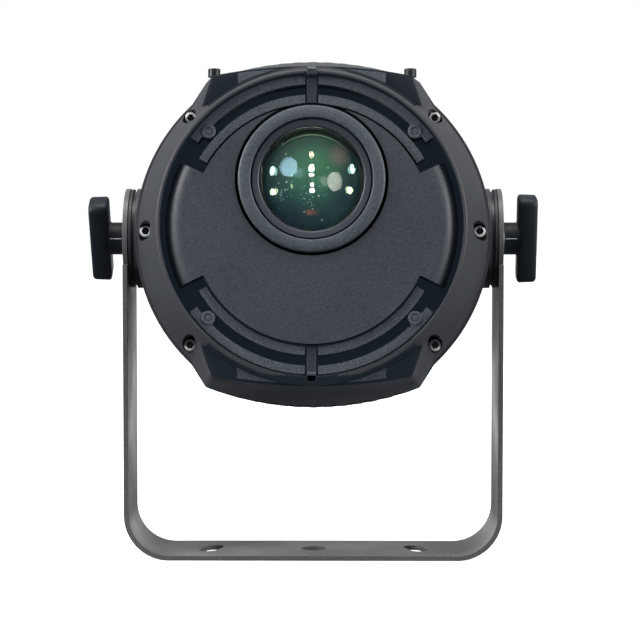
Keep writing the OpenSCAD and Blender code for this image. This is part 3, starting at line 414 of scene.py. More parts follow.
FINISHES = {
    "satin_steel": textured("yoke_powder_coat", (0.105, 0.107, 0.11), 0.42, 1500, 6e-5, 0.3),
    "cover_plastic": textured(
        "satin_shell", (0.047, 0.05, 0.056), 0.45, 2600, 1e-5, 0.08, gloss=0.3),
    # The smooth finish glows faintly: painted light that lifts its dark faces and the shaded moat
    "smooth_navy": textured(
        "smooth_navy", (0.003, 0.0045, 0.0065), 0.5, 2600, 5e-6, 0.05, gloss=0.2,
        glow=(0.0065, 0.0105, 0.0155)),
    "panel_plastic": textured("panel_grain", (0.038, 0.044, 0.055), 0.5, 1500, 0.0001, 0.4),
    "rib_plastic": textured("rib_grain", (0.062, 0.073, 0.087), 0.52, 1900, 0.0001, 0.7),
    "bezel_metal": textured("bezel_grain", (0.058, 0.069, 0.083), 0.5, 1900, 0.0001, 0.65),
    "retainer_metal": textured("retainer_satin", (0.036, 0.04, 0.052), 0.4, 3000, 1e-5, 0.05),
    "coated_glass": lens_skin("coated_lens"),
    "clear_glass": clear_glass("clear_optic", (0.9, 0.95, 0.97)),
    "filter_glass": clear_glass("filter_optic", (0.85, 0.3, 0.25)),
    "seal_rubber": textured("seal_rubber", (0.012, 0.012, 0.012), 0.7, 900),
    "friction_pad": textured("friction_pad", (0.02, 0.022, 0.026), 0.5, 900),
    "brass_insert": brushed("turned_brass", (0.72, 0.55, 0.25), 0.3),
    "pivot_metal": textured("black_anodised", (0.012, 0.015, 0.02), 0.38, 2600, 1e-5, 0.05),
    "bright_steel": brushed("stainless_steel", (0.62, 0.62, 0.62), 0.3),
    "zinc_screw": brushed("zinc_screw", (0.86, 0.85, 0.83), 0.4, metal=0.1),
    "black_steel": textured("black_oxide", (0.02, 0.021, 0.024), 0.35, 2600, 1e-5, 0.1, 0.6),
    "knob_plastic": textured(
        "knob_grain", (0.0055, 0.0095, 0.015), 0.5, 2200, 3e-5, 0.15, gloss=0.35),
    # The seam's light grey is a painted highlight along the dark hub
    "knob_seam": textured("knob_seam", (0.5, 0.5, 0.5), 0.35, 2200, 1e-5, 0.1),
    "button_plastic": textured("button_satin", (0.09, 0.09, 0.095), 0.4, 2600, 2e-5, 0.05),
    "window_plastic": textured(
        "smoked_window", (0.008, 0.01, 0.013), 0.08, 600, 2e-6, 0.02, 0, 0.02),
    "board": textured("solder_mask", (0.02, 0.13, 0.06), 0.35, 500, 3e-5, 0.3),
    "white_board": textured("white_mask", (0.75, 0.75, 0.74), 0.4, 500, 1e-5, 0.05),
    "emitter": textured("phosphor", (0.85, 0.68, 0.15), 0.25, 900, 1e-5, 0.1),
    "bare_aluminium": brushed("sawn_aluminium", (0.68, 0.69, 0.71), 0.35),
    "black_plastic": textured("black_moulding", (0.018, 0.018, 0.02), 0.45, 1800, 3e-5, 0.1),
    "blue_plastic": textured("blue_moulding", (0.02, 0.07, 0.3), 0.4, 1800, 3e-5, 0.1),
    "grey_plastic": textured("grey_moulding", (0.3, 0.31, 0.33), 0.4, 1800, 3e-5, 0.1),
    "ring_glow": textured("edge_glass", (0.07, 0.1, 0.05), 0.2, 900, 1e-5, 0.1),
    "centre_rib": textured("centre_rib", (0.026, 0.033, 0.043), 0.45, 900, 3e-5, 0.25),
    "barrel_black": textured(
        "barrel_black", (0.004, 0.006, 0.009), 0.22, 3000, 5e-6, 0.05, mottle=0.03),
    "lens_inside": coated_element("lens_inside", LENS_PLACE, LENS_R * MM),
}
SLOTS = {row["node"]: row["material_slot"] for row in frame["record"]["subparts"]}


# ---- Making pieces ----

def add_piece(name, mesh, body, slot_name, *finishes):
    """A new piece on a body, with its finishes in order of their use."""
    piece = new_object(name, mesh)
    if not mesh.materials:
        for finish in finishes or (slot_name,):
            mesh.materials.append(FINISHES[finish])
    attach(piece, body)
    return piece


def stand_in(name, mesh, nodes, *finishes):
    """Turns a mesh into a piece that rides, replaces and is finished as its CAD nodes are."""
    piece = add_piece(name, mesh, body_of_node(nodes[0]), SLOTS[nodes[0]], *finishes)
    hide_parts(*nodes)
    return piece


def second_finish(mesh, where):
    """Gives the second finish to the faces whose centre passes a test, in the head's frame."""
    for face in mesh.polygons:
        face.material_index = 1 if where(HEAD_BACK @ face.center) else 0


def merged_copy(node):
    """A copy of a CAD node's mesh with its triangles joined and its flat faces whole."""
    mesh = frame["nodes"][node].data.copy()
    mesh.materials.clear()
    work = bmesh.new()
    work.from_mesh(mesh)
    bmesh.ops.remove_doubles(work, verts=work.verts, dist=2e-6)
    bmesh.ops.dissolve_limit(work, angle_limit=radians(0.4), verts=work.verts,
                             edges=work.edges)
    work.to_mesh(mesh)
    work.free()
    for layer in list(mesh.attributes):
        if layer.name in ("custom_normal", "sharp_face"):
            mesh.attributes.remove(layer)
    return mesh


def smooth_shade(mesh, sharp=32):
    """Shades curved faces smooth and keeps sharp edges."""
    mesh.shade_smooth()
    mesh.set_sharp_from_angle(angle=radians(sharp))


def soften(piece, width, segments=2, sharp=32):
    """Rounds a piece's edges and shades its curved faces smooth."""
    smooth_shade(piece.data, sharp)
    edge = piece.modifiers.new("edge_rounding", "BEVEL")
    edge.width = width * MM
    edge.segments = segments
    edge.limit_method = "ANGLE"
    edge.angle_limit = radians(sharp)
    edge.harden_normals = True
    edge.miter_outer = "MITER_ARC"
    return piece


def softened_copy(node, width):
    """A CAD node's own shape with rounded edges."""
    return soften(stand_in(node + "_finished", merged_copy(node), [node]), width)


def solid_mesh(name, points, faces, place=HEAD):
    """A closed mesh from points in the head's frame, or another's, with its faces outwards."""
    mesh = bpy.data.meshes.new(name)
    mesh.from_pydata([place @ Vector(p) for p in points], [], faces)
    work = bmesh.new()
    work.from_mesh(mesh)
    bmesh.ops.remove_doubles(work, verts=work.verts, dist=5e-7)
    bmesh.ops.recalc_face_normals(work, faces=work.faces)
    work.to_mesh(mesh)
    work.free()
    mesh.update()
    return mesh


def joined(parts):
    """Points and faces of several parts as one."""
    points, faces = [], []
    for part_points, part_faces in parts:
        start = len(points)
        points += part_points
        faces += [tuple(start + i for i in face) for face in part_faces]
    return points, faces


def grid(rows, wrap_rows=False):
    """Points and faces of rows that each close on themselves, with the ends capped or joined."""
    count = len(rows[0])
    points = [p for row in rows for p in row]
    faces = []
    last = len(rows) if wrap_rows else len(rows) - 1
    for i in range(last):
        for j in range(count):
            k = (j + 1) % count
            n = (i + 1) % len(rows)
            faces.append((i * count + j, i * count + k, n * count + k, n * count + j))
    if not wrap_rows:
        start = (len(rows) - 1) * count
        faces += [tuple(range(count)), tuple(start + j for j in range(count))]
    return points, faces


def turned(profile, centre=(0, 0), steps=64, closed=False, start=0.0):
    """A turned part from (radius, height) pairs, capped at its ends or closed into a ring. A radius
    may be a function of the angle."""
    rows = []
    for radius, height in profile:
        row = []
        for j in range(steps):
            a = start + 2 * pi * j / steps
            r = radius(a) if callable(radius) else radius
            row.append((centre[0] + r * cos(a), centre[1] + r * sin(a), height))
        rows.append(row)
    return grid(rows, closed)


def turned_mesh(name, profile, sharp, steps, closed=False, y=LENS_CENTRE.y):
    """The shaded mesh of a part turned about the lens's axis, or about another height."""
    mesh = solid_mesh(name, *turned(profile, (0, y), steps, closed))
    smooth_shade(mesh, sharp)
    return mesh


def polar(radius, angle):
    """The point at a radius and an angle."""
    return radius * cos(angle), radius * sin(angle)


def prism(outline, low, high):
    """An upright part from an outline, between two heights."""
    return grid([[(x, y, z) for x, y in outline] for z in (low, high)])


def hexagon(radius):
    """The radius of a hexagon with that corner radius, as a function of the angle."""
    def at(angle):
        return radius * cos(pi / 6) / cos(angle % (pi / 3) - pi / 6)
    return at


# ---- What repeats ----

def start_tree(name, inputs):
    """A geometry tree, its source and its inputs' identifiers, from (label, kind, value)."""
    tree = bpy.data.node_groups.new(name, "GeometryNodeTree")
    tree.interface.new_socket("Geometry", in_out="INPUT", socket_type="NodeSocketGeometry")
    labels = {}
    always = [("Part", "NodeSocketObject", None), ("Finish", "NodeSocketMaterial", None)]
    for label, kind, value in always + inputs:
        socket = tree.interface.new_socket(label, in_out="INPUT", socket_type=kind)
        if value is not None:
            socket.default_value = value
        labels[label] = socket.identifier
    tree.interface.new_socket("Geometry", in_out="OUTPUT", socket_type="NodeSocketGeometry")
    return tree, tree.nodes.new("NodeGroupInput"), labels


def end_tree(tree, source, inputs):
    """Puts the part at points, makes it real, gives it its finish and ends the tree."""
    part = add_node(tree, "GeometryNodeObjectInfo", {"Object": source.outputs["Part"]})
    spread = add_node(tree, "GeometryNodeInstanceOnPoints", {
        "Instance": part.outputs["Geometry"], **inputs})
    real = add_node(tree, "GeometryNodeRealizeInstances", {
        "Geometry": spread.outputs["Instances"]})
    finish = add_node(tree, "GeometryNodeSetMaterial", {
        "Geometry": real.outputs["Geometry"], "Material": source.outputs["Finish"]})
    add_node(tree, "NodeGroupOutput", {"Geometry": finish.outputs["Geometry"]})


def tree_at_places():
    """One part at each point of the carrier, to a scale."""
    tree, source, labels = start_tree("part_at_places", [("Scale", "NodeSocketFloat", 1.0)])
    end_tree(tree, source, {
        "Points": source.outputs["Geometry"], "Scale": source.outputs["Scale"]})
    return tree, labels


def tree_around():
    """A part repeated about the upright axis, the first at a start angle."""
    tree, source, labels = start_tree("part_around", [
        ("Count", "NodeSocketInt", 3), ("Step", "NodeSocketFloat", 1.0),
        ("Start", "NodeSocketFloat", 0.0)])
    line = add_node(tree, "GeometryNodeMeshLine", {
        "Offset": (0, 0, 0), "Count": source.outputs["Count"]})
    index = tree.nodes.new("GeometryNodeInputIndex")
    turn = add_node(tree, "ShaderNodeMath", {
        0: index.outputs["Index"], 1: source.outputs["Step"], 2: source.outputs["Start"]},
        "MULTIPLY_ADD")
    about = add_node(tree, "ShaderNodeCombineXYZ", {"Z": turn.outputs["Value"]})
    end_tree(tree, source, {
        "Points": line.outputs["Mesh"], "Rotation": about.outputs["Vector"]})
    return tree, labels


AT_PLACES, AROUND = tree_at_places(), tree_around()


def made_plain(carrier):
    """The plain mesh that an object's modifiers give."""
    graph = bpy.context.evaluated_depsgraph_get()
    return bpy.data.meshes.new_from_object(carrier.evaluated_get(graph), depsgraph=graph)


def grown(name, kind, part, finish, place=HEAD, carrier_points=((0, 0, 0),), **settings):
    """The plain mesh that a tree makes from a part, moved from its own frame to the row frame.
    Settings are the tree's other inputs, where they aren't at their first values."""
    tree, labels = kind
    template_mesh = solid_mesh(name + "_part", *part, place=Matrix.Identity(4))
    smooth_shade(template_mesh)
    template = new_object(name + "_part", template_mesh)
    carrier_mesh = bpy.data.meshes.new(name)
    carrier_mesh.from_pydata([tuple(p) for p in carrier_points], [], [])
    carrier = new_object(name, carrier_mesh)
    grower = carrier.modifiers.new("grow", "NODES")
    grower.node_group = tree
    grower[labels["Part"]] = template
    grower[labels["Finish"]] = FINISHES[finish]
    for label, value in settings.items():
        grower[labels[label.capitalize()]] = value
    mesh = made_plain(carrier)
    mesh.name = name
    mesh.transform(place)
    carrier.modifiers.remove(grower)
    for spare in (carrier, template):
        bpy.data.objects.remove(spare)
    return mesh


def cap_screw(head_r, head_h, socket_r, shank_r, shank):
    """A socket-head screw: its head stands from 0 to head_h, and its shank goes down."""
    edge = 0.12 * head_r
    return turned([(shank_r, -shank), (shank_r, 0), (head_r, 0), (head_r, head_h - edge),
                   (head_r - 0.3 * edge, head_h - 0.3 * edge), (head_r - edge, head_h),
                   (hexagon(socket_r + 0.15), head_h), (hexagon(socket_r), head_h - 0.2),
                   (hexagon(socket_r), 0.35 * head_h)], steps=36)


# ---- Head shells ----

def blend_in(value):
    """Smooth step from 0 to 1."""
    value = min(max(value, 0.0), 1.0)
    return value * value * (3 - 2 * value)


def soft_min(a, b, reach):
    """The smaller of two values, rounded over where they meet."""
    near = max(reach - abs(a - b), 0.0) / reach
    return min(a, b) - near * near * reach / 4


def soft_max(a, b, reach):
    """The larger of two values, rounded over where they meet."""
    return -soft_min(-a, -b, reach)


def mix(a, b, t):
    """Linear blend, of numbers or of tuples."""
    if isinstance(a, tuple):
        return tuple(mix(p, q, t) for p, q in zip(a, b))
    return a + (b - a) * t


def arc_radius(corner_x, corner_y, middle):
    """The radius of the arc through a shoulder's corners and middle."""
    return (corner_x ** 2 + (middle - corner_y) ** 2) / (2 * (middle - corner_y))


def arc_reach(angle, corner_x, corner_y, middle):
    """How far along an angle the arc through a shoulder's corner and middle lies."""
    radius = arc_radius(corner_x, corner_y, middle)
    centre = middle - radius
    c, s = cos(angle), sin(angle)
    return centre * s + sqrt(max(radius ** 2 - (centre * c) ** 2, 0))


def belt_reach(angle, wall, corner_x, corner_y):
    """How far along an angle the flat side between the round wall and a shoulder's corner lies."""
    p = (wall - 0.5) * sin(pi / 4)
    c, s = cos(angle), sin(angle)
    if s <= c:
        return 0.0
    return p * (corner_y - corner_x) / (c * (corner_y - p) - s * (corner_x - p))


def corner_angle(wall, belt, arc):
    """The angle at which the flat side meets the arc."""
    low, high = radians(50), radians(62)
    for _ in range(30):
        half = (low + high) / 2
        if belt_reach(half, wall, *belt) < arc_reach(half, *arc):
            low = half
        else:
            high = half
    return low


# One quarter's columns, in degrees, closest together at the shoulder's corner
QUARTER = ([1.5 * i for i in range(25)] + [37.5 + 0.75 * i for i in range(1, 21)]
           + [53 + 0.25 * i for i in range(1, 25)] + [59 + i for i in range(1, 31)])
CORNER_COLUMN = 56


def columns(corner):
    """Angles all round, in radians, as (angle folded into the first quarter, angle)."""
    stops, turns = [0, 45, CORNER_COLUMN, 90], [0, 45, degrees(corner), 90]
    fold = [radians(float(np.interp(c, stops, turns))) for c in QUARTER]
    quarters = [(a, a) for a in fold]
    quarters += [(a, pi - a) for a in reversed(fold[:-1])]
    return quarters + [(a, pi + b) for a, b in quarters[1:-1]]


PARTING, RIM_S, SHOULDER_S, FLOOR_S = 26.0, 80.0, 72.0, 66.0
COVER_R, RIM_R, RIM_IN = 88.0, 74.3, 72.6
BULGE = 8.8
SHELL_WALL, FLOOR_HOLE_R = 3.0, 52
SCREW_AT, SCREW_SEAT, POCKET_R = 82.7, 38.0, 3.45
SCREW_ANGLES = (0, 43, 137, 180, 223, 317)
# A screw's boss: how far it stands in from the screw's axis, and half its width in degrees
SCREW_BOSS, SCREW_BOSS_DEG = 7.4, 7.0
# The screw pockets' extra room towards the head's axis, and downwards in the upper and lower half
POCKET_INWARDS, POCKET_DROP_ABOVE, POCKET_DROP_BELOW = 1.3, 2.3, 0.9
SCREW_HOLE_R = 1.7
# The shoulder's corner on the flat side, and the corner and middle of its arc, as (x, y) and
# (x, y, middle), each at the parting and in front
FLAT_CORNERS = (53.6, 77.1), (48.0, 73.0)
ARC_CORNERS = (53.6, 77.1, 87.0), (48.0, 71.6, 75.6)
FRONT_MARGIN = 0.0003
CHEEK_END, CHEEK_BLEND = radians(46), radians(2.6)


def share(s, end):
    """How far s is on the way from the parting to end."""
    return (s - PARTING) / (end - PARTING)


def round_wall(s):
    """Radius of the front cover's round wall at s."""
    t = share(s, RIM_S)
    return COVER_R + (RIM_R - COVER_R) * t + BULGE * t * (1 - t)


def shoulder(s):
    """The flat side's corner, and the arc's corner and middle, at s."""
    return (mix(*FLAT_CORNERS, min(share(s, SHOULDER_S), 1.0)),
            mix(*ARC_CORNERS, share(s, RIM_S)))


def cover_outside(angle, s):
    """How far along a folded angle the front cover's outside lies at s."""
    wall = round_wall(s)
    belt, arc = shoulder(s)
    flat = belt_reach(angle, wall, *belt)
    side = soft_max(wall, flat, 0.5) if flat > 0 else wall
    return soft_min(arc_reach(angle, *arc), side, 1.3)


def cover_corner(s):
    """The angle of the shoulder's corner at s."""
    return corner_angle(round_wall(s), *shoulder(s))


def cover_inside(folded, angle, s):
    """How far the front cover's inside lies: a wall's thickness in, or less at a screw's boss."""
    inside = cover_outside(folded, s) - SHELL_WALL
    away = min(abs((degrees(angle) - a + 180) % 360 - 180) for a in SCREW_ANGLES)
    boss = min(inside, SCREW_AT - SCREW_BOSS)
    return mix(inside, boss, blend_in(SCREW_BOSS_DEG - away))


def front_cover_rows():
    """The front cover's closed section at every angle, as rows of points."""
    outer = [PARTING + 0.35] + [float(s) for s in np.linspace(PARTING + 4, 70, 12)] + [71.7]
    rows = [[(cover_outside(f, PARTING) - 0.4, a, PARTING)
             for f, a in columns(cover_corner(PARTING))]]
    for s in outer:
        rows.append([(cover_outside(f, s), a, s) for f, a in columns(cover_corner(s))])
    # The shoulders have flat faces here, and the round wall goes on to the front edge all round
    front = columns(cover_corner(SHOULDER_S))
    wall_foot = round_wall(SHOULDER_S)
    steps = ((0.15, 71.9), (0.45, 72.0), (None, 72.0), (None, 72.0), (None, 71.55), (None, 72.15))
    for k, (drop, s) in enumerate(steps):
        row = []
        for folded, angle in front:
            edge = cover_outside(folded, SHOULDER_S)
            foot = min(wall_foot, edge - 0.75)
            if drop is not None:
                top = edge - drop
            else:
                top = [mix(edge, foot, 0.5), foot + 0.25, foot + 0.1, foot - 0.05][k - 2]
            up = 71.9 + 0.12 * k
            past = blend_in((folded - CHEEK_END) / CHEEK_BLEND)
            row.append((mix(cover_outside(folded, up), top, past), angle, mix(up, s, past)))
        rows.append(row)
    for s in (73.5, 75.0, 76.5, 78.0, 79.2):
        row = []
        for f, a in front:
            set_back = 0.3 * blend_in((f - CHEEK_END) / CHEEK_BLEND)
            row.append((min(round_wall(s), cover_outside(f, s) - set_back), a, s))
        rows.append(row)
    rim = [(RIM_R - 0.15, 79.8), (RIM_R - 0.55, RIM_S), (RIM_IN + 0.45, RIM_S),
           (RIM_IN + 0.1, 79.85), (RIM_IN, 79.4), (RIM_IN, 76.0), (RIM_IN, 71.0),
           (RIM_IN, FLOOR_S), (RIM_IN - 1.2, FLOOR_S), (FLOOR_HOLE_R, FLOOR_S),
           (FLOOR_HOLE_R, FLOOR_S - SHELL_WALL)]
    rows += [[(r, a, s) for _, a in front] for r, s in rim]
    for s in (FLOOR_S - SHELL_WALL, 55, 46, 40, 34, PARTING):
        rows.append([(cover_inside(f, a, s), a, s) for f, a in columns(cover_corner(s))])
    return [[(*polar(r, a), s) for r, a, s in row] for row in rows]


def kept_inside(mesh):
    """Sets back what would stand past the front of the object's box."""
    for vertex in mesh.vertices:
        vertex.co.y = max(vertex.co.y, CAD_BOX[0][1] + FRONT_MARGIN)


def cut(mesh, cutters):
    """The mesh with closed cutters taken away. The cutters don't touch each other."""
    carrier = new_object("to_cut", mesh)
    tool = new_object("cutter", solid_mesh("cutter", *joined(cutters)))
    knife = carrier.modifiers.new("cut", "BOOLEAN")
    knife.object = tool
    knife.operation = "DIFFERENCE"
    knife.solver = "EXACT"
    made = made_plain(carrier)
    for item in (carrier, tool):
        bpy.data.objects.remove(item)
    return made


def rod_along(radius, start, end, direction, steps=28):
    """A round rod from start to end along one of the head's axes."""
    points, faces = turned([(radius, start), (radius, end)], steps=steps)
    if direction == "x":
        points = [(z, x, y) for x, y, z in points]
    elif direction == "y":
        points = [(y, z, x) for x, y, z in points]
    return points, faces


def moved(part, dx=0, dy=0, dz=0):
    """A part moved by an offset."""
    return [(x + dx, y + dy, z + dz) for x, y, z in part[0]], part[1]


def block(low, high):
    """A box between two corners."""
    (x, y, z), (far_x, far_y, far_z) = low, high
    return prism([(x, y), (far_x, y), (far_x, far_y), (x, far_y)], z, far_z)


SHOULDER_SCREW_X, SHOULDER_SCREW_S, SHOULDER_SCREW_SEAT = 47.8, 61.5, 73.5
VENT_COUNT, VENT_PITCH, VENT_W = 12, 7.7, 4.0


def make_front_cover():
    """The front cover: a lofted shell with screw pockets and the vent notches at its back edge."""
    mesh = solid_mesh("front_cover_shell", *grid(front_cover_rows(), wrap_rows=True))
    cutters = []
    for screw_angle in SCREW_ANGLES:
        a = radians(screw_angle)
        at = polar(SCREW_AT, a)
        cutters.append(turned([(SCREW_HOLE_R, 20), (SCREW_HOLE_R, SCREW_SEAT + 1)], at, 24))
        # The pocket is a little longer downwards, so that the screw shows from the front
        drop = POCKET_DROP_BELOW if screw_angle > 180 else POCKET_DROP_ABOVE
        outline = []
        for t in np.linspace(0, 2 * pi, 41)[:-1]:
            inwards = POCKET_INWARDS if cos(t - a) < -0.01 else 0
            x = at[0] + POCKET_R * cos(t) - inwards * cos(a)
            y = at[1] + POCKET_R * sin(t) - inwards * sin(a)
            outline.append((x, y - (drop if t > pi else 0)))
        cutters.append(prism(outline, SCREW_SEAT, 90))
    for sign in (-1, 1):
        hole = rod_along(3.2, SHOULDER_SCREW_SEAT, 84, "y", 28)
        cutters.append(moved(hole, sign * SHOULDER_SCREW_X, 0, SHOULDER_SCREW_S))
        for i in range(VENT_COUNT):
            x = (i - (VENT_COUNT - 1) / 2) * VENT_PITCH
            low, high = sorted((sign * 70, sign * 95))
            cutters.append(block((x - VENT_W / 2, low, 20), (x + VENT_W / 2, high, 30)))
    mesh = cut(cut(mesh, cutters[::2]), cutters[1::2])
    kept_inside(mesh)
    stand_in("front_cover_shell", mesh, ["front_cover"], "cover_plastic", "smooth_navy")
    # The shoulders' faces, the wall before them and the floor have the smoother, darker finish; on
    # the floor and the rim's inner wall it darkens the moat as painted shade, and its faint glow is
    # painted light
    for face in mesh.polygons:
        at = HEAD_BACK @ face.center
        around = hypot(at.x, at.y)
        folded = atan2(abs(at.y), abs(at.x))
        forward = (HEAD_BACK.to_3x3() @ face.normal).normalized()
        past_cheek = (folded - CHEEK_END) / CHEEK_BLEND
        on_face = past_cheek > 0.5 and 71 < at.z < 72.05 and forward.z > 0.5
        on_wall = past_cheek > 1.1 and around > RIM_IN + 0.5 and 71.9 < at.z < 78.1
        on_floor = at.z > 62 and around < RIM_IN + 0.05
        face.material_index = 1 if on_face or on_wall or on_floor else 0
    smooth_shade(mesh, 34)


# ---- Face ----

LENS_Y = LENS_CENTRE.y
RIB_FRONT = 77.0
RIB_IN, RIB_OUT = (58.4, 62.6), (67.6, 71.8)
RIB_ENDS = (30.5, 35.8)
CENTRE_RIB_HALF, CENTRE_GAP = 2.2, 1.0
BOSS_AT, BOSS_DEG, BOSS_R = 66.7, 42.2, 3.4
BEZEL_ROOM = 36.8


def rib_outline(radii, end, boss):
    """The right-hand half of a rib, from its outer end to beside the centre rib."""
    clear = CENTRE_RIB_HALF + CENTRE_GAP
    outer = [polar(radii[1], a)
             for a in np.linspace(radians(end), acos(clear / radii[1]), 40)]
    inner = []
    for a in np.linspace(acos(clear / radii[0]), radians(end), 70):
        r = radii[0]
        if boss:
            away = a - radians(BOSS_DEG)
            if abs(BOSS_AT * sin(away)) < BOSS_R:
                half = sqrt(BOSS_R ** 2 - (BOSS_AT * sin(away)) ** 2)
                r = min(r, BOSS_AT * cos(away) - half)
        else:
            # The upper ribs stay clear of the bezel
            half = sqrt(BEZEL_ROOM ** 2 - (LENS_Y * cos(a)) ** 2)
            r = max(r, LENS_Y * sin(a) + half + 0.15)
        inner.append(polar(r, a))
    return outer + inner


def corner_rib_outline():
    """The triangular rib between the round edge and the shoulder, for the right-hand side."""
    xs = [float(x) for x in np.linspace(15.5, 35.6, 16)]
    low = [(x, sqrt(77.1 ** 2 - x * x)) for x in xs]
    arc = shoulder(SHOULDER_S)[1]
    radius = arc_radius(*arc)
    high = [(x, arc[2] - radius + sqrt(radius ** 2 - x * x) - 1.2) for x in xs]
    high = [(x, max(y, low[i][1] + 0.02)) for i, (x, y) in enumerate(high)]
    return low + high[::-1]


def four_ways(outline):
    """An outline on the right above, and mirrored to the left and below."""
    return [[(sx * x, sy * y) for x, y in outline] for sx in (1, -1) for sy in (1, -1)]


def make_ribs():
    """The two windows' ribs with their bosses, the corner ribs, and the centre ribs."""
    parts = []
    for radii, end, boss in ((RIB_IN, RIB_ENDS[0], False), (RIB_OUT, RIB_ENDS[1], True)):
        for outline in four_ways(rib_outline(radii, end, boss)):
            parts.append(prism(outline, FLOOR_S, RIB_FRONT))
    for outline in four_ways(corner_rib_outline()):
        parts.append(prism(outline, SHOULDER_S, 73.6))
    mesh = solid_mesh("face_ribs_moulded", *joined(parts))
    soften(stand_in("face_ribs_moulded", mesh, ["face_ribs"]), 0.3)
    ring = turned([(BOSS_R - 0.1, 74), (BOSS_R - 0.1, 77.25), (BOSS_R - 0.35, 77.45), (2.1, 77.45),
                   (1.95, 77.3), (1.85, 76.6), (1.5, 76.6), (1.4, 77.2), (0.5, 77.3)], steps=32)
    x, y = polar(BOSS_AT, radians(BOSS_DEG))
    spots = [(sx * x, sy * y, 0) for sx in (1, -1) for sy in (1, -1)]
    mesh = grown("rib_bosses", AT_PLACES, ring, "rib_plastic", HEAD, spots)
    add_piece("rib_bosses", mesh, body_of_node("face_ribs"), "rib_plastic")
    smooth_shade(mesh, 30)
    # The centre ribs run on over the cover's front edge
    h = CENTRE_RIB_HALF
    side = [(58.65, FLOOR_S), (72.4, FLOOR_S), (72.4, 79.9), (74.0, 80.05), (74.9, 79.0),
            (77.0, 73.2), (77.9, 72.1), (77.9, 72.6), (77.3, 75.2), (75.6, 80.0), (74.6, 80.7),
            (71.8, 80.6), (70.6, 77.0), (58.65, 76.6)]
    bars = []
    for sign in (-1, 1):
        points = [(x, sign * y, s) for x in (-h, h) for y, s in side]
        n = len(side)
        faces = [tuple(range(n)), tuple(range(2 * n - 1, n - 1, -1))]
        faces += [(i, (i + 1) % n, n + (i + 1) % n, n + i) for i in range(n)]
        bars.append((points, faces))
    mesh = solid_mesh("centre_ribs", *joined(bars))
    kept_inside(mesh)
    ribs = add_piece("centre_ribs", mesh, body_of_node("face_ribs"), "rib_plastic", "centre_rib")
    soften(ribs, 0.25)


def make_panel():
    """The face panel: a disc with a broad round edge, two windows and the bezel's opening."""
    out, front, round_r = 70.4, 79.2, 8.5
    window_in, window_out = 57.2, 90
    rounding = [polar(round_r, t) for t in np.linspace(0, pi / 2, 15)]
    edge = [(out - round_r + x, front - round_r + z) for x, z in rounding]
    profile = [(out, FLOOR_S + 0.05)] + edge + [(r, front) for r in (45, 20, 2)]
    disc = solid_mesh("face_panel_moulded", *turned(profile, steps=180))
    end = radians(25.3)
    far = [polar(window_out, t) for t in np.linspace(end, pi - end, 24)]
    near = [polar(window_in, t) for t in np.linspace(pi - end, end, 90)]
    windows = [prism([(x, sign * y) for x, y in far + near], FLOOR_S - 4, front + 4)
               for sign in (1, -1)]
    opening = turned([(BEZEL_ROOM, FLOOR_S - 4), (BEZEL_ROOM, front + 4)], (0, LENS_Y), 144)
    mesh = cut(cut(disc, windows), [opening])
    soften(stand_in("face_panel_moulded", mesh, ["face_panel"]), 0.25)


# ---- Lens ----

def make_lens():
    """The domed front glass, a polished edge ring, and the coated element behind it in the tube."""
    dome, front_r = 71.7, 24.7

    def cap(radius, reach, top, rings):
        """The profile of a dome of that radius, from its rim to near its pole."""
        turns = np.linspace(asin(reach / radius), 0.004, rings)
        return [(radius * sin(t), top - radius + radius * cos(t)) for t in turns]

    # The front glass is a thin dome, so that what lies behind shows as it is
    skin = 0.9
    outer = cap(dome, front_r, LENS_HIGH.z, 30)
    inner = [(r * (front_r - skin) / front_r, z - skin) for r, z in outer]
    mesh = turned_mesh("lens_front", inner[::-1] + outer, 50, 96)
    front_piece = stand_in("lens_front", mesh, ["objective_lens"])
    body = body_of_node("objective_lens")
    back = [(23.0, 60.0), (23.2, 66.5), (23.7, 66.9)] + cap(36.0, 23.7, 75.8, 40)
    mesh = turned_mesh("lens_back_element", back, 40, 96)
    back_piece = add_piece("lens_back_element", mesh, body, "coated_glass", "lens_inside")
    ring = [(23.75, 67.3), (23.7, 67.7), (23.95, 68.0), (24.05, 67.7), (24.05, 67.3)]
    mesh = turned_mesh("lens_edge_ring", ring, 50, 96, closed=True)
    ring_piece = add_piece("lens_edge_ring", mesh, body, "bright_steel", "ring_glow")
    for piece in (front_piece, back_piece, ring_piece):
        LENS_PIECES.objects.link(piece)


def make_lens_rings():
    """The grained bezel, and the retainer with its groove and funnel."""
    low, high = head_box("lens_bezel")
    outer, front = (high.x - low.x) / 2, high.z
    inner = 29.3
    bezel = [(inner, FLOOR_S), (outer, FLOOR_S), (outer, front - 0.9),
             (outer - 0.25, front - 0.35), (outer - 0.8, front), (inner + 0.5, front),
             (inner + 0.15, front - 0.15), (inner, front - 0.5)]
    mesh = turned_mesh("lens_bezel_turned", bezel, 50, 128, closed=True)
    stand_in("lens_bezel_turned", mesh, ["lens_bezel"])
    retainer = [(24.7, 72.8), (29.0, 72.8), (29.0, 78.7), (28.75, 78.9), (28.6, 79.7),
                (28.35, 79.95), (25.9, 79.6), (25.5, 79.45), (25.25, 79.1), (25.0, 75.5)]
    mesh = turned_mesh("lens_retainer_turned", retainer, 40, 128, closed=True)
    stand_in("lens_retainer_turned", mesh, ["lens_retainer"], "retainer_metal", "barrel_black")
    second_finish(mesh, lambda at: hypot(at.x, at.y - LENS_Y) < 25.3 and at.z < 79.3)


# ---- Knobs ----

TEE_LEN, TEE_W, TEE_T, TEE_ROUND = 45.0, 14.5, 9.8, 4.2
TEE_TURNS = {"left": 30, "right": 14}


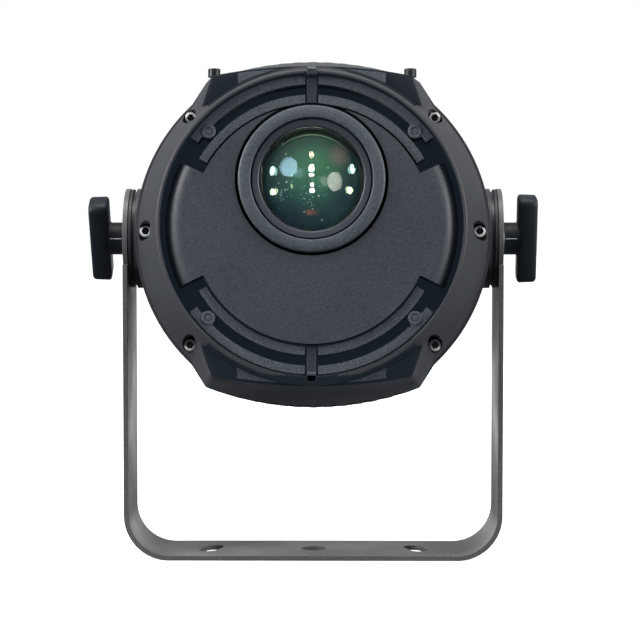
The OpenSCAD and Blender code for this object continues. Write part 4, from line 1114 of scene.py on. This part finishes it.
def make_knob(side, sign):
    """A moulded T knob: a bar with rounded ends on a hub, and a seam along the hub, light grey as a
    painted highlight.
    """
    node = "tilt_knob_" + side
    low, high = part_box(node)
    out = (high[0] if sign > 0 else -low[0]) / MM
    bar_in = out - TEE_T
    hub_in = min(abs(low[0]), abs(high[0])) / MM
    turn = Matrix.Rotation(radians(TEE_TURNS[side]), 4, "X")
    place = Matrix.Translation((0, 0, AXIS_HEIGHT)) @ turn @ Matrix.Scale(MM, 4)

    def outline(inset):
        """The bar's outline in (y, z), drawn in by inset."""
        points = []
        half_y, half_z = TEE_W / 2 - inset, TEE_LEN / 2 - inset
        r = max(TEE_ROUND - inset, 0.6)
        for cy, cz, start in ((1, 1, 0), (-1, 1, 90), (-1, -1, 180), (1, -1, 270)):
            for k in range(7):
                a = radians(start + 15 * k)
                points.append((cy * (half_y - r) + r * cos(a),
                               cz * (half_z - r) + r * sin(a)))
        return points

    levels = [(bar_in, 1.4), (bar_in + 0.4, 0.5), (bar_in + 1.3, 0.0), (out - 1.6, 0.25),
              (out - 0.6, 0.7), (out, 1.7)]
    bar = grid([[(sign * x, y, z) for y, z in outline(inset)] for x, inset in levels])
    hub_r, bore_r = 8.25, 4.05
    profile = [(bore_r, hub_in), (hub_r - 0.5, hub_in), (hub_r, hub_in + 0.5),
               (hub_r, bar_in - 0.8), (hub_r + 0.5, bar_in - 0.1), (hub_r + 0.6, bar_in + 0.6),
               (bore_r, bar_in)]
    hub = turned([(r, sign * x) for r, x in profile], steps=48, closed=True)
    hub = ([(z, x, y) for x, y, z in hub[0]], hub[1])
    # The mould's seam faces the front at rest
    seam = block((hub_in + 0.8, -0.22, 0), (bar_in - 0.5, 0.22, 0.55))
    back_turn = Matrix.Rotation(-radians(TEE_TURNS[side]), 3, "X")
    seam_points = [back_turn @ Vector((sign * x, -(hub_r - 0.35 + z), y))
                   for x, y, z in seam[0]]
    parts = [bar, hub, ([tuple(p) for p in seam_points], seam[1])]
    mesh = solid_mesh(node + "_moulded", *joined(parts), place=place)
    stand_in(node + "_moulded", mesh, [node], "knob_plastic", "knob_seam")
    # The seam is the last part, a block of six faces, and takes the painted highlight's grey
    for face in mesh.polygons[-6:]:
        face.material_index = 1
    smooth_shade(mesh, 40)


# ---- Screws and fan ----

def ring_spots(radius, angles, height, sign=1):
    """Points on a circle at angles in degrees, with y turned round where sign is -1."""
    return [(radius * cos(radians(a)), sign * radius * sin(radians(a)), height)
            for a in angles]


def make_screws():
    """The cover's, the shoulders' and the back cover's screws at their places."""
    screws = ring_spots(SCREW_AT, SCREW_ANGLES, SCREW_SEAT)
    mesh = grown("cover_screw_set", AT_PLACES, cap_screw(2.9, 4.4, 1.75, 1.5, 26), "zinc_screw",
                 HEAD, screws)
    mesh.materials.clear()
    stand_in("cover_screw_set", mesh, ["cover_screws"], "zinc_screw", "barrel_black")

    def in_shaded_socket(at):
        """Whether a point is in one of the hex sockets, whose black finish is painted shade."""
        off_axis = min(hypot(at.x - x, at.y - y) for x, y, _ in screws)
        return off_axis < 1.8 and at.z > SCREW_SEAT + 0.5

    # The sockets take the barrel's black as painted shade
    second_finish(mesh, in_shaded_socket)
    shoulders = [(s * SHOULDER_SCREW_X, -SHOULDER_SCREW_S, SHOULDER_SCREW_SEAT) for s in (-1, 1)]
    seat = head_box("back_screws")[0].z + 2.0
    backs = ring_spots(75.8, (30, 150, 210, 330), -seat, -1)
    for screw, turn, spots, sizes in (
            ("shoulder_screw", -pi / 2, shoulders, (3.0, 4.0, 1.5, 1.5, 9)),
            ("back_screw", pi, backs, (2.8, 2.0, 1.4, 1.25, 11))):
        place = HEAD @ Matrix.Rotation(turn, 4, "X")
        mesh = grown(screw + "_set", AT_PLACES, cap_screw(*sizes), "black_steel", place, spots)
        stand_in(screw + "_set", mesh, [screw + "s"])


def make_fan():
    """The fan's hub and its twisted blades."""
    low, high = head_box("fan_rotor")
    centre = (low + high) / 2
    blade_count = 7
    top = high.z
    # A blade's section, across in half widths and its thickness in millimetres
    foil = ((-1, 0), (-0.5, 0.55), (0, 0.7), (0.5, 0.55), (1, 0), (0.5, -0.25), (0, -0.3),
            (-0.5, -0.25))
    blade = []
    for i in range(9):
        r = mix(11.6, (high.x - low.x) / 2 - 0.3, i / 8)
        pitch = radians(mix(58, 38, i / 8))
        half_w = mix(4.3, 6.2, i / 8)
        lag = radians(mix(0, 9, i / 8))
        section = []
        for u, t in foil:
            along = u * half_w
            y = along * cos(pitch) - t * sin(pitch)
            z = along * sin(pitch) + t * cos(pitch)
            section.append((r * cos(lag) - y * sin(lag),
                            r * sin(lag) + y * cos(lag), min(max(z, -4.7), 4.7)))
        blade.append(section)
    middle = top - 4.9
    place = HEAD @ Matrix.Translation((0, centre.y, middle))
    mesh = grown("fan_blades", AROUND, grid(blade), "black_plastic", place=place, count=blade_count,
                 step=2 * pi / blade_count, start=0.2)
    hub = [(1.5, low.z), (1.5, middle - 4.6), (11.4, middle - 4.6), (12, middle - 4.0),
           (12, top - 0.8), (11.2, top)]
    smooth_shade(mesh, 40)
    hub_mesh = turned_mesh("fan_rotor_hub", hub, 40, 48, y=centre.y)
    stand_in("fan_rotor_hub", hub_mesh, ["fan_rotor"])
    add_piece("fan_blades", mesh, body_of_node("fan_rotor"), "black_plastic")


make_camera()
make_studio()
make_front_cover()
make_ribs()
make_panel()
make_lens()
make_lens_rings()
make_knob("left", -1)
make_knob("right", 1)
make_screws()
make_fan()

# The other pieces keep their CAD shape, with edges rounded by so many millimetres
EDGES = (
    ("yoke", 0.35), ("rear_housing", 0.4),
    ("pivot_plate_left pivot_plate_right friction_disc_left friction_disc_right", 0.2),
    ("knob_washer_left knob_washer_right", 0.15), ("back_cover", 0.4), ("safety_eye", 0.5),
    ("display_window", 0.2), ("power_inlet power_outlet data_inlet data_outlet", 0.3),
    ("fuse_holder", 0.4), ("menu_button_1 menu_button_2 menu_button_3 menu_button_4", 0.3),
)
# Pieces that lie wholly behind this y, in metres, take the rear face's light
REAR_FACE_Y = 0.08
for node_names, edge_width in EDGES:
    for node_name in node_names.split():
        finished = softened_copy(node_name, edge_width)
        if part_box(node_name)[0][1] > REAR_FACE_Y:
            BACK_PIECES.objects.link(finished)
for node_name, node_object in frame["nodes"].items():
    node_object.data.materials.clear()
    node_object.data.materials.append(FINISHES[SLOTS[node_name]])
